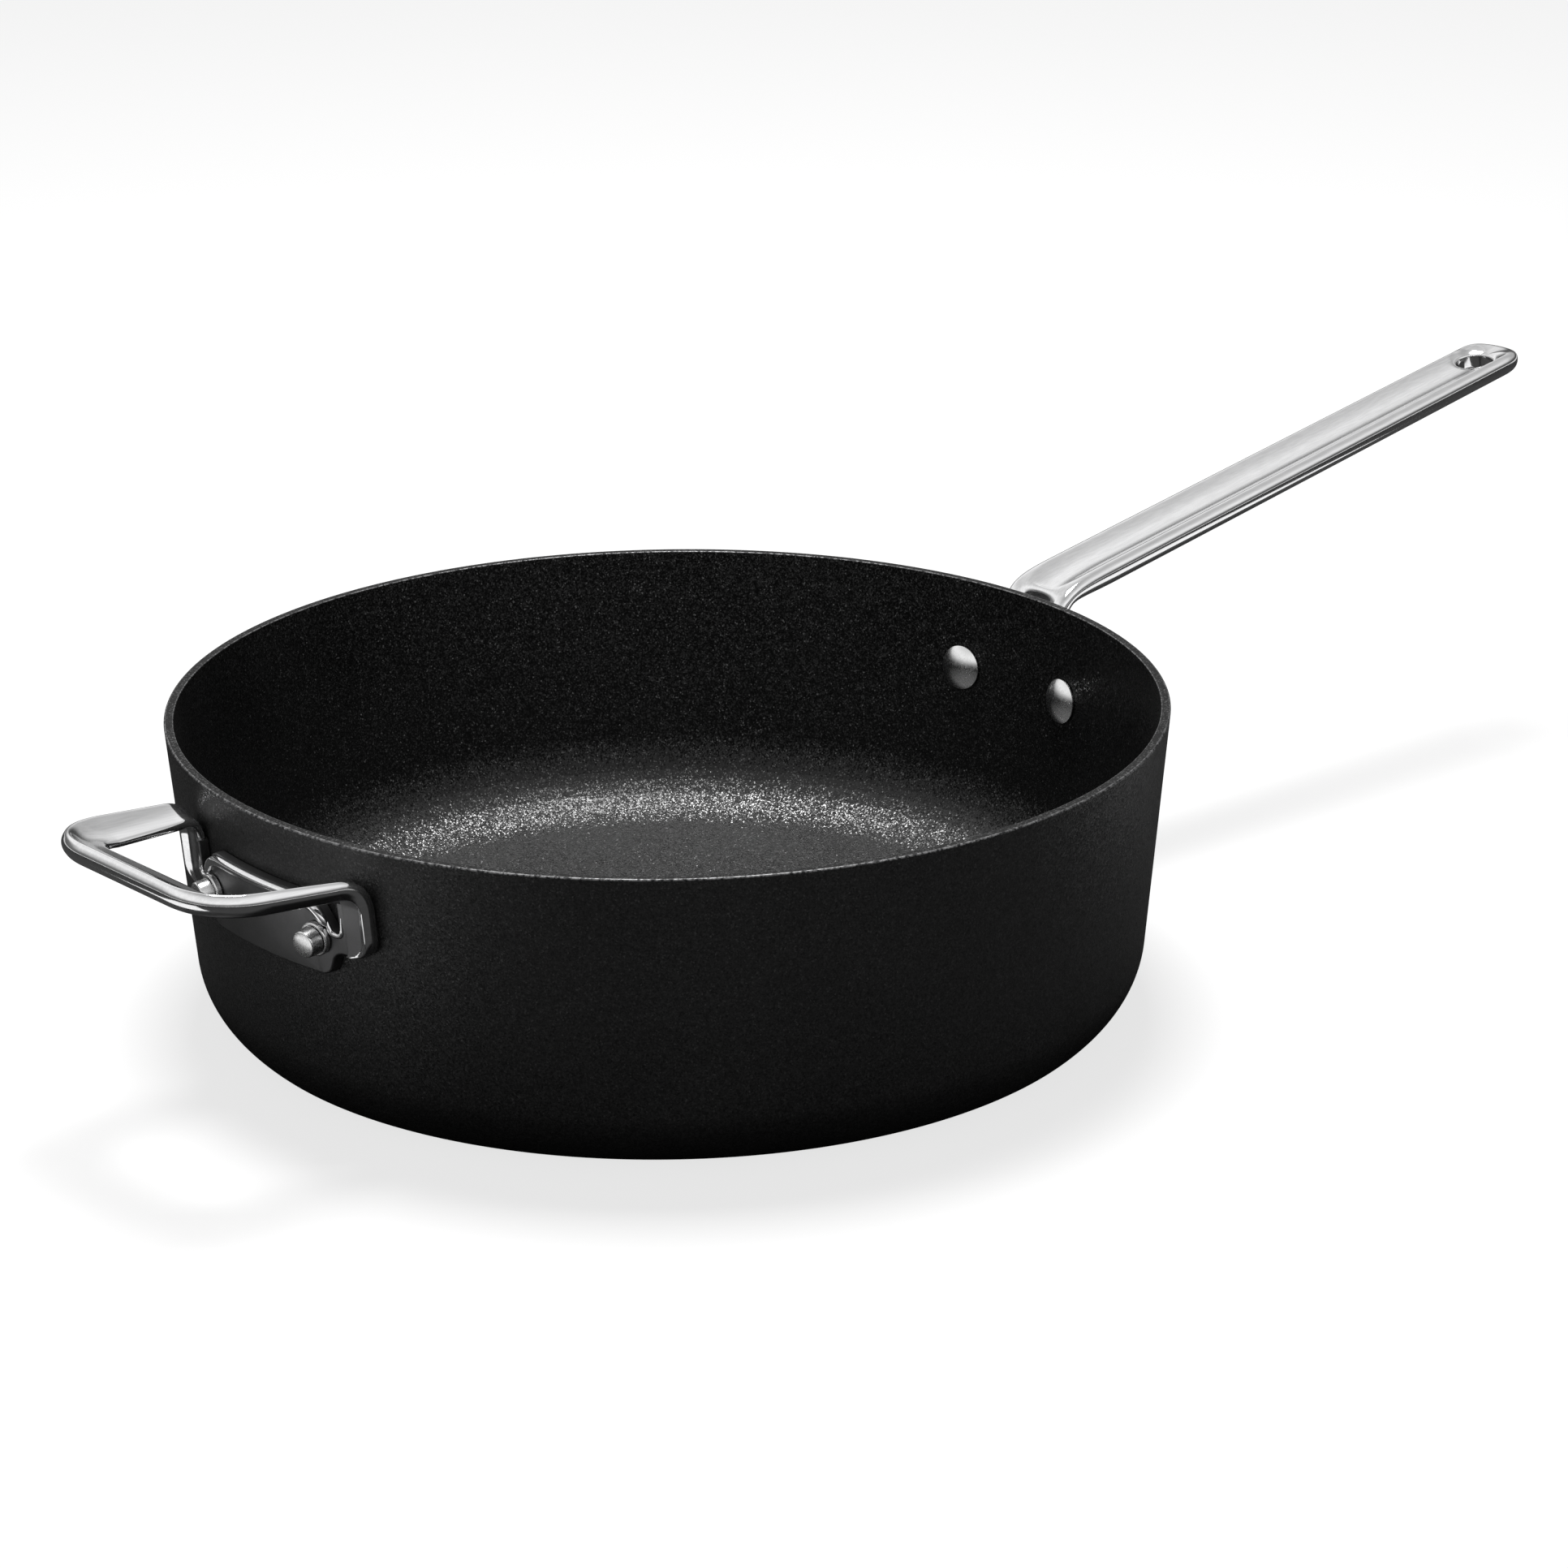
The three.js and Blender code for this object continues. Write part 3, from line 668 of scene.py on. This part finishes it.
def plate_rings(foot):
    """Sections of the long handle's plate, thin at the toe."""
    rings = []
    normal = Vector((-WALL_UP.z, 0, WALL_UP.x))
    for share in PLATE_SHARES:
        height = blend(-PLATE_FOOT, LONG_PLATE_SHOULDER, share)
        thin = PLATE_THICKNESS * math.sqrt(min(1.0, PLATE_TOE_THIN + share / PLATE_TOE_SHARE))
        sink = (PLATE_THICKNESS - thin) / 2
        point = foot + WALL_UP * height - normal * sink
        rings.append(
            handle_ring(point, WALL_UP, plate_half_width(height), thin, PLATE_EDGE, 0.0, 1.0)
        )
    return rings


def neck_trough(share, neck):
    """Depth and half width of the hollow in the neck, below and beyond the end of the bar's trough."""
    if share > SPOON_END:
        left = 1 - min((share - SPOON_END) / SPOON_SHARE, 1.0)
        spoon = math.sqrt(1 - left ** 2)
        return TROUGH_DEPTH * spoon, TROUGH_HALF_WIDTH * blend(SPOON_NARROW, 1.0, spoon)
    closing = eased(share, SPOON_END - SPOON_GAP, SPOON_END)
    return NECK_TROUGH_DEPTH * neck * (1 - closing), TROUGH_HALF_WIDTH


def neck_rings(start, end):
    """Sections of the neck that bends from the plate out into the bar."""
    pulls = (start + WALL_UP * BEND_WALL_PULL, end - BAR_ALONG * BEND_BAR_PULL)
    gone, last = LONG_PLATE_SHOULDER, start
    rings = []
    for i in range(NECK_STEPS + 1):
        share = i / NECK_STEPS
        point, tangent = bezier(start, *pulls, end, share)
        gone += (point - last).length
        last = point
        neck, bar = eased(share, 0, 0.5), eased(share, 0.5, 1)
        flare = plate_half_width(min(gone, PLATE_HALF_WIDTHS[-1][0]))
        half_width = blend(max(flare, NECK_HALF_WIDTH), BAR_HALF_WIDTH, bar)
        thickness = blend(blend(PLATE_THICKNESS, NECK_THICKNESS, neck), BAR_THICKNESS, bar)
        edge = blend(PLATE_EDGE, BAR_EDGE, eased(share, 0.1, 0.7))
        dish, trough = neck_trough(share, neck)
        rings.append(
            handle_ring(point, tangent, half_width, thickness, edge, dish, 1 - neck, trough)
        )
    return rings


def bar_rings(start):
    """Sections of the straight bar."""
    rings = []
    for i in range(1, BAR_STEPS + 1):
        share = i / BAR_STEPS
        point = start + BAR_ALONG * (BAR_LENGTH - BAR_END_ROUND) * share
        half_width = blend(BAR_HALF_WIDTH, BAR_END_HALF_WIDTH, share)
        rings.append(
            handle_ring(point, BAR_ALONG, half_width, BAR_THICKNESS, BAR_EDGE, TROUGH_DEPTH)
        )
    return rings


def bar_tip(centre):
    """Points and faces of the bar's round end: its half section swung round, the crest fading out."""
    columns = []
    for i in range(TIP_STEPS + 1):
        turn = math.pi * i / TIP_STEPS
        crest = math.cos(turn) ** 2
        side = signed_power(math.cos(turn), BAR_END_POWER)
        ahead = abs(math.sin(turn)) ** BAR_END_POWER * BAR_END_ROUND / BAR_END_HALF_WIDTH
        rows = half_section(BAR_END_HALF_WIDTH, BAR_THICKNESS, BAR_EDGE, TROUGH_DEPTH, crest)
        columns.append([
            centre + SIDEWAYS * across * side + BAR_ALONG * across * ahead + BAR_UP * height
            for across, height in rows
        ])
    count = len(columns[0])
    points = [p for column in columns for p in column]
    faces = []
    for i in range(TIP_STEPS):
        for j in range(count - 1):
            here, there = i * count + j, (i + 1) * count + j
            faces.append((here, here + 1, there + 1, there))
    return points, faces


def hole_cutter(bar_end):
    """The hanging hole's bore, flared where it meets the trough and the underside."""
    flare, reach = HANGING_HOLE_RADIUS + HANGING_HOLE_ROUND, HANGING_HOLE_RADIUS + HANGING_HOLE_CUT
    low = (flare, HANGING_HOLE_ROUND - BAR_THICKNESS)
    high = (flare, -TROUGH_DEPTH - HANGING_HOLE_ROUND)
    bore = [(0.0, -HANGING_HOLE_CUT), (reach, -HANGING_HOLE_CUT)]
    bore += arc(low, HANGING_HOLE_ROUND, -math.pi / 2, -math.pi)
    bore += arc(high, HANGING_HOLE_ROUND, math.pi, math.pi / 2)
    bore += [(reach, HANGING_HOLE_CUT), (0.0, HANGING_HOLE_CUT)]
    points, faces, _ = lathe(bore, SMALL_ROUND_STEPS)
    place = Matrix.Translation(bar_end - BAR_ALONG * HANGING_HOLE_INSET)
    place = place @ Matrix.Rotation(-BAR_SLOPE, 4, "Y")
    cutter = add_piece("bore", [place @ Vector(p) for p in points], faces, [POLISHED])
    make_outward(cutter)
    return cutter


def make_long_handle():
    foot = off_wall(1, 0, 0, CLEARANCE)
    shoulder = foot + WALL_UP * LONG_PLATE_SHOULDER
    bar_start = foot + Vector((BEND_REACH, 0, BEND_RISE))
    bar_end = bar_start + BAR_ALONG * BAR_LENGTH
    rings = plate_rings(foot) + neck_rings(shoulder, bar_start) + bar_rings(bar_start)
    points, faces = loft(rings, closed_end=False)
    end_points, end_faces = bar_tip(bar_end - BAR_ALONG * BAR_END_ROUND)
    faces += [[v + len(points) for v in face] for face in end_faces]
    piece = add_piece("handle", points + end_points, faces, [POLISHED])
    make_outward(piece, WELD)
    cut(piece, hole_cutter(bar_end))
    stands_for(piece, "long_handle")


def helper_frames():
    """Frames along the helper's top line, from one ear round to the other.

    Each holds its point, the way across and the way up, its share of the bow's section, and its rise
    over the foot of the ear.
    """
    ear_y, bar_y = EAR_SPACING / 2, BOW_BAR_SPACING / 2
    foot = off_wall(-1, ear_y, -EAR_FOOT, CLEARANCE)
    root = off_wall(-1, ear_y, BOW_ROOT_RISE, CLEARANCE)
    bar_x = -(wall_radius(RIVET_HEIGHT) + BOW_REACH - BOW_WIDTH / 2)
    bar_z = root.z + (root.x - bar_x) * math.tan(BOW_SLOPE)
    corner = Vector((bar_x, bar_y, bar_z))
    middle = Vector((bar_x, 0, bar_z))

    def toward(start, end, leg):
        return start + (end - start).normalized() * leg

    def straight(start, end):
        return start, (start + end) / 2, end

    bend = (toward(root, foot, BOW_BEND_LEG), root, toward(root, corner, BOW_BEND_LEG))
    turn = (
        toward(corner, root, BOW_CORNER_LEG), corner, toward(corner, middle, BOW_CORNER_LEG),
    )
    ear_facing = math.atan2(foot.y, -foot.x)
    arm_facing = math.atan2(bar_y - root.y, root.x - bar_x)
    bar_facing = -math.pi / 2
    legs = (
        (straight(foot, bend[0]), (ear_facing, ear_facing), (0, 0)),
        (bend, (ear_facing, arm_facing), (0, BOW_ROOT_SHARE)),
        (straight(bend[2], turn[0]), (arm_facing, arm_facing), (BOW_ROOT_SHARE, 1)),
        (turn, (arm_facing, bar_facing), (1, 1)),
        (straight(turn[2], middle), (bar_facing, bar_facing), (1, 1)),
    )
    half = []
    for number, ((a, b, c), facing, bow) in enumerate(legs):
        steps = HELPER_STEPS[number]
        for i in range(0 if number == 0 else 1, steps + 1):
            t = i / steps
            point = quadratic(a, b, c, t)
            tangent = ((b - a) * (1 - t) + (c - b) * t).normalized()
            angle = blend(*facing, t)
            normal = Vector((math.sin(angle), math.cos(angle), 0)).cross(tangent).normalized()
            rise = point.z - foot.z
            half.append((point, tangent.cross(normal), normal, blend(*bow, t), rise))
    flip = Matrix.Diagonal((1, -1, 1))
    other = [(flip @ p, flip @ w, flip @ n, b, r) for p, w, n, b, r in half[-2::-1]]
    return half + other


def helper_ring(point, widthways, normal, bow, rise):
    """A bulging outer edge, a ridge over it, and a hollow that falls to a thin inner edge.

    Near the foot of an ear the outer edge draws in along a round corner and loses depth. The second
    list marks the points of an ear's face, which is matt like the plate.
    """
    left = max(0.0, 1 - rise / EAR_CORNER)
    drawn_in = EAR_CORNER * (1 - math.sqrt(max(0.0, 1 - left * left))) / 2
    point = point - widthways * drawn_in
    half = blend(EAR_WIDTH, BOW_WIDTH, bow) / 2 - drawn_in
    rim = blend(blend(EAR_RIM_DEPTH, PLATE_THICKNESS, left ** 2), BOW_RIM_DEPTH, bow)
    inner = blend(PLATE_THICKNESS, BOW_INNER_THICKNESS, bow)
    fall = BOW_FALL * bow
    knee = blend(half - EAR_RIM_WIDTH, 0.0, bow)
    crest = half - min(blend(EAR_RIM_LEAN, BOW_RIM_LEAN, bow), half / 2)
    outline = rounded_outline([
        (half, -rim / 2, rim / 3),
        (half - BOW_RIM_LEAN * bow, 0.0, BOW_RIM_ROUND),
        (0.0, -fall * BOW_MIDDLE_FALL, half / 2),
        (-half, -fall, inner / 2),
        (-half, -fall - inner, inner / 2),
        (knee, -blend(PLATE_THICKNESS, rim, bow), blend(EAR_KNEE_ROUND, half / 2, bow)),
        (crest, -rim, BOW_RIM_ROUND),
    ], HELPER_CORNER_STEPS)
    section = evenly(outline, HELPER_RING_POINTS)
    face = -EAR_FACE_DEPTH * inner
    matt = [bow < EAR_FACE_END and p.x < knee and p.y < face for p in section]
    return [point + widthways * p.x + normal * p.y for p in section], matt


def evenly(outline, count):
    """Points at even distances round a closed outline."""
    ring = np.array([tuple(p) for p in outline + outline[:1]])
    gone = np.concatenate(([0.0], np.cumsum(np.linalg.norm(np.diff(ring, axis=0), axis=1))))
    stops = np.linspace(0, gone[-1], count + 1)[:-1]
    return [
        Vector((np.interp(stop, gone, ring[:, 0]), np.interp(stop, gone, ring[:, 1])))
        for stop in stops
    ]


def rounded_outline(rows, steps=8):
    """A closed outline with each corner of rows of x, y and corner size cut to a curve."""
    outline = []
    for i, (x, y, size) in enumerate(rows):
        here = Vector((x, y))
        if size == 0:
            outline.append(here)
            continue
        ends = []
        for near in (rows[i - 1], rows[(i + 1) % len(rows)]):
            way = Vector(near[:2]) - here
            ends.append(here + way.normalized() * min(size, way.length / 2))
        outline += [quadratic(ends[0], here, ends[1], t) for t in np.linspace(0, 1, steps + 1)]
    return outline


def wall_plate(side, outline, thickness, edge):
    """Points and faces of a plate with rounded edges that follows the wall."""
    count = len(outline)
    shape = bmesh.new()
    inward = []
    for i in range(count):
        way = outline[(i + 1) % count] - outline[i - 1]
        inward.append(Vector((-way.y, way.x)).normalized())
    levels = [(0.0, 0.0)]
    for turn in np.linspace(0, math.pi / 2, PLATE_EDGE_ROWS):
        levels.append((edge * (1 - math.cos(turn)), thickness - edge * (1 - math.sin(turn))))
    rows = [
        [shape.verts.new((*(here + way * inset), height)) for here, way in zip(outline, inward)]
        for inset, height in levels
    ]
    for low, high in zip(rows, rows[1:]):
        for i in range(count):
            j = (i + 1) % count
            shape.faces.new((low[i], low[j], high[j], high[i]))
    caps = [shape.faces.new(rows[0][::-1]), shape.faces.new(rows[-1])]
    bmesh.ops.triangulate(shape, faces=caps)
    reach = max(abs(p.x) for p in outline)
    for y in np.arange(-reach, reach, PLATE_SLICE):
        parts = shape.verts[:] + shape.edges[:] + shape.faces[:]
        bmesh.ops.bisect_plane(
            shape, geom=parts, dist=1e-7, plane_co=(y, 0, 0), plane_no=(1, 0, 0),
        )
    shape.verts.index_update()
    points = [off_wall(side, v.co.x, v.co.y, CLEARANCE + v.co.z) for v in shape.verts]
    faces = [[v.index for v in face.verts] for face in shape.faces]
    shape.free()
    return points, faces


def bead(side, line, radius, standoff):
    """Points and faces of a round bead along a line on the wall, drawn in at both ends."""
    rings = []
    last = len(line) - 1
    for i, (y, rise) in enumerate(line):
        here = off_wall(side, y, rise, standoff)
        before = off_wall(side, *line[max(i - 1, 0)], standoff)
        after = off_wall(side, *line[min(i + 1, last)], standoff)
        tangent = (after - before).normalized()
        out = Vector((here.x, here.y, 0)).normalized()
        across = tangent.cross(out).normalized()
        out = across.cross(tangent)
        fade = math.sqrt(max(0.04, 1 - (2 * i / last - 1) ** 16))
        rings.append([
            here + (across * math.cos(t) + out * math.sin(t)) * radius * fade
            for t in np.linspace(0, 2 * math.pi, BEAD_POINTS + 1)[:-1]
        ])
    return loft(rings)


def helper_plate():
    """The plate with its tongue at the foot, its ears and the notches beside them."""
    tongue, pad_top = TONGUE_WIDTH / 2, PAD_TOP_WIDTH / 2
    rows = [
        (tongue - PLATE_CORNER / 2, -PLATE_FOOT, PLATE_CORNER),
        (tongue + PLATE_CORNER / 2, -EAR_FOOT, PLATE_CORNER),
        (EAR_OUT, -EAR_FOOT, EAR_CORNER),
        (EAR_OUT, PAD_TOP, 0),
        (EAR_IN, PAD_TOP, 0),
        (EAR_IN, NOTCH_FLOOR, NOTCH_WIDTH / 2),
        (NOTCH_IN, NOTCH_FLOOR, NOTCH_WIDTH / 2),
        (pad_top, PAD_TOP, PLATE_CORNER),
    ]
    rows += [(-y, z, size) for y, z, size in rows[::-1]]
    return wall_plate(-1, rounded_outline(rows), PLATE_THICKNESS, PLATE_EDGE / 2)


def helper_lip():
    """The thick lip along the upper edge of the plate."""
    low, high = NOTCH_FLOOR + LIP_RADIUS, PAD_TOP - LIP_RADIUS
    foot, shoulder = NOTCH_IN - LIP_RADIUS, PAD_TOP_WIDTH / 2 - LIP_RADIUS / 2
    corners = rounded_outline([
        (foot, low, 0),
        (shoulder, high, 2 * PLATE_CORNER),
        (-shoulder, high, 2 * PLATE_CORNER),
        (-foot, low, 0),
    ])
    line = []
    for start, end in zip(corners, corners[1:]):
        pieces = max(1, round((end - start).length / LIP_STEP))
        line += [tuple(start.lerp(end, i / pieces)) for i in range(pieces)]
    line.append(tuple(corners[-1]))
    return bead(-1, line, LIP_RADIUS, LIP_STANDOFF)


def notch_rim(side):
    """The thin rim along the notch beside one ear."""
    ear, low = EAR_IN + NOTCH_RIM_RADIUS, NOTCH_FLOOR - NOTCH_RIM_RADIUS
    line = rounded_outline([
        (side * ear, NOTCH_FLOOR + NOTCH_RIM_EAR_RISE, 0),
        (side * ear, low, NOTCH_WIDTH),
        (side * (NOTCH_IN - NOTCH_RIM_RADIUS), low, NOTCH_WIDTH),
        (side * (NOTCH_IN - NOTCH_RIM_PAD_INSET), NOTCH_FLOOR + NOTCH_RIM_PAD_RISE, 0),
    ], HELPER_CORNER_STEPS)
    return bead(-1, [tuple(p) for p in line], NOTCH_RIM_RADIUS, PLATE_THICKNESS)


def make_helper_handle():
    rings = [helper_ring(*f) for f in helper_frames()]
    bow = loft([ring for ring, _ in rings])
    matt = [flag for _, flags in rings for flag in flags] + [False, False]
    plate = helper_plate()
    bodies = [
        (bow, [int(all(matt[v] for v in face)) for face in bow[1]]),
        (plate, [1] * len(plate[1])),
    ]
    bodies += [(rim, [0] * len(rim[1])) for rim in (helper_lip(), notch_rim(1), notch_rim(-1))]
    points, faces, zones = [], [], []
    for (body_points, body_faces), body_zones in bodies:
        faces += [[v + len(points) for v in face] for face in body_faces]
        points += body_points
        zones += body_zones
    piece = add_piece("helper", points, faces, [POLISHED, BLASTED], zones)
    make_outward(piece)
    piece.data.set_sharp_from_angle(angle=STEEL_SHARP)
    stands_for(piece, "helper_handle")


def rivet_place(side, y):
    point = off_wall(side, y, 0, 0)
    level = Vector((point.x, point.y, 0)).normalized()
    outward = level * math.cos(WALL_TAPER) - Vector((0, 0, math.sin(WALL_TAPER)))
    turn = Vector((0, 0, 1)).rotation_difference(outward).to_matrix().to_4x4()
    return Matrix.Translation(point) @ turn


def rivet_profile():
    """A domed head inside the pan, a shank through the wall and a crowned stud outside."""
    inner = wall_radius(RIVET_HEIGHT, -WALL_THICKNESS)
    seat = -WALL_THICKNESS - CLEARANCE - HEAD_RADIUS ** 2 / (2 * inner)
    dome_height = HEAD_HEIGHT - HEAD_EDGE_ROUND
    dome = (HEAD_RADIUS ** 2 + dome_height ** 2) / (2 * dome_height)
    centre = seat - HEAD_HEIGHT + dome
    edge = -math.acos(HEAD_RADIUS / dome)
    top = STUD_SEAT + STUD_LENGTH
    end = STUD_RADIUS - STUD_TAPER
    stud_edge = (end - STUD_ROUND, top - STUD_ROUND - STUD_CROWN)
    profile = arc((0.0, centre), dome, -math.pi / 2, edge, 2 * ARC_STEPS)
    profile[0] = (0.0, seat - HEAD_HEIGHT)
    profile += [(HEAD_RADIUS, seat), (SHANK_RADIUS, seat)]
    profile += [(SHANK_RADIUS, STUD_SEAT), (STUD_RADIUS, STUD_SEAT)]
    profile += arc(stud_edge, STUD_ROUND, 0, STUD_ROUND_TURN)
    profile += [(end / 2, top - STUD_CROWN / 3), (0.0, top)]
    return profile


def collar_profile():
    bore, top = SHANK_RADIUS + CLEARANCE, COLLAR_SEAT + COLLAR_THICKNESS
    edge = (COLLAR_RADIUS - COLLAR_ROUND, top - COLLAR_ROUND)
    profile = [(bore, COLLAR_SEAT), (COLLAR_RADIUS, COLLAR_SEAT)]
    profile += arc(edge, COLLAR_ROUND, 0, math.pi / 2)
    return profile + [(bore, top), (bore, COLLAR_SEAT)]


def make_rivets():
    handles = (("long_handle", 1, LONG_RIVET_PITCH), ("helper_handle", -1, HELPER_RIVET_PITCH))
    profiles = (("rivet", rivet_profile()), ("rivet_collar", collar_profile()))
    for owner, side, pitch in handles:
        for end, y in (("a", pitch / 2), ("b", -pitch / 2)):
            place = rivet_place(side, y)
            for kind, profile in profiles:
                points, faces, _ = lathe(profile, SMALL_ROUND_STEPS)
                points = [place @ Vector(p) for p in points]
                node = f"{owner}_{kind}_{end}"
                piece = add_piece(f"{node}_look", points, faces, [SATIN])
                make_outward(piece)
                piece.data.set_sharp_from_angle(angle=RIVET_SHARP)
                stands_for(piece, node)


def make_stage():
    bpy.ops.mesh.primitive_circle_add(vertices=96, radius=FLOOR_RADIUS, fill_type="NGON")
    floor = bpy.context.object
    floor.name = "floor"
    n = new_material("floor_white")
    n.shader.inputs["Base Color"].default_value = grey(FLOOR_SHADE)
    n.shader.inputs["Roughness"].default_value = 0.9
    n.shader.inputs["Specular IOR Level"].default_value = 0.0
    n.shader.inputs["Emission Color"].default_value = grey(1)
    glow = n.spread(n.seen_directly(), 0.0, 1.0, 0.0, FLOOR_GLOW)
    n.link(glow, n.shader.inputs["Emission Strength"])
    floor.data.materials.append(n.owner)


def make_dark_cards():
    """Dark cards on the floor that only reflections see, set to draw the edges of the steel."""
    n = new_material("card_black")
    n.shader.inputs["Base Color"].default_value = grey(CARD_SHADE)
    n.shader.inputs["Roughness"].default_value = 1.0
    n.shader.inputs["Specular IOR Level"].default_value = 0.0
    for name, low, high in DARK_CARDS:
        centre = ((low[0] + high[0]) / 2, (low[1] + high[1]) / 2, CARD_LIFT)
        bpy.ops.mesh.primitive_plane_add(size=1.0, location=centre)
        card = bpy.context.object
        card.name = name
        card.scale = (high[0] - low[0], high[1] - low[1], 1)
        card.data.materials.append(n.owner)
        card.visible_camera = False
        card.visible_diffuse = False
        card.visible_shadow = False
        card.visible_transmission = False


def make_lamp():
    light = bpy.data.lights.new("top_light", "AREA")
    light.shape = "RECTANGLE"
    light.size = light.size_y = LAMP_SIZE
    light.energy = LAMP_POWER
    lamp = bpy.data.objects.new("top_light", light)
    lamp.location = LAMP_PLACE
    lamp.rotation_mode = "QUATERNION"
    lamp.rotation_quaternion = (LAMP_AIM - LAMP_PLACE).to_track_quat("-Z", "Y")
    bpy.context.scene.collection.objects.link(lamp)


def make_world():
    """A white world graded by height and darker on its +X side, that lights less than it shows."""
    n = Nodes(bpy.data.worlds.new("studio"))
    background = n.tree.nodes["Background"]
    way = n.split(n.add("ShaderNodeTexCoord").outputs["Generated"])
    grade = n.add("ShaderNodeValToRGB")
    stops = grade.color_ramp.elements
    for height, shade in WORLD_GRADE:
        stops.new(height).color = grey(shade)
    for stop in stops:
        if stop.position in (0.0, 1.0):
            stop.color = grey(WORLD_GRADE[-1][1])
    n.link(way["Z"], grade.inputs["Fac"])
    n.link(grade.outputs["Color"], background.inputs["Color"])
    level = n.spread(n.seen_directly(), 0.0, 1.0, WORLD_LIGHT, 1.0)
    strength = n.math("MULTIPLY", level, n.spread(way["X"], *WORLD_FLAG))
    n.link(strength, background.inputs["Strength"])
    bpy.context.scene.world = n.owner


def make_camera():
    data = bpy.data.cameras.new("camera")
    data.sensor_width = SENSOR_WIDTH
    data.lens = FOCAL_PIXELS / PHOTO_PIXELS * SENSOR_WIDTH
    data.clip_start, data.clip_end = 0.01, 50
    camera = bpy.data.objects.new("camera", data)
    forward = CAMERA_FORWARD.normalized()
    right = forward.cross(Vector((0, 0, 1))).normalized()
    up = right.cross(forward)
    rolled_right = right * math.cos(CAMERA_ROLL) + up * math.sin(CAMERA_ROLL)
    rolled_up = up * math.cos(CAMERA_ROLL) - right * math.sin(CAMERA_ROLL)
    turn = Matrix((rolled_right, rolled_up, -forward)).transposed()
    camera.matrix_world = Matrix.Translation(CAMERA_PLACE) @ turn.to_4x4()
    bpy.context.scene.collection.objects.link(camera)
    bpy.context.scene.camera = camera


make_camera()
make_pan_body()
make_base_plate()
make_long_handle()
make_helper_handle()
make_rivets()
make_stage()
make_dark_cards()
make_lamp()
make_world()
bpy.context.scene.view_settings.view_transform = "Standard"
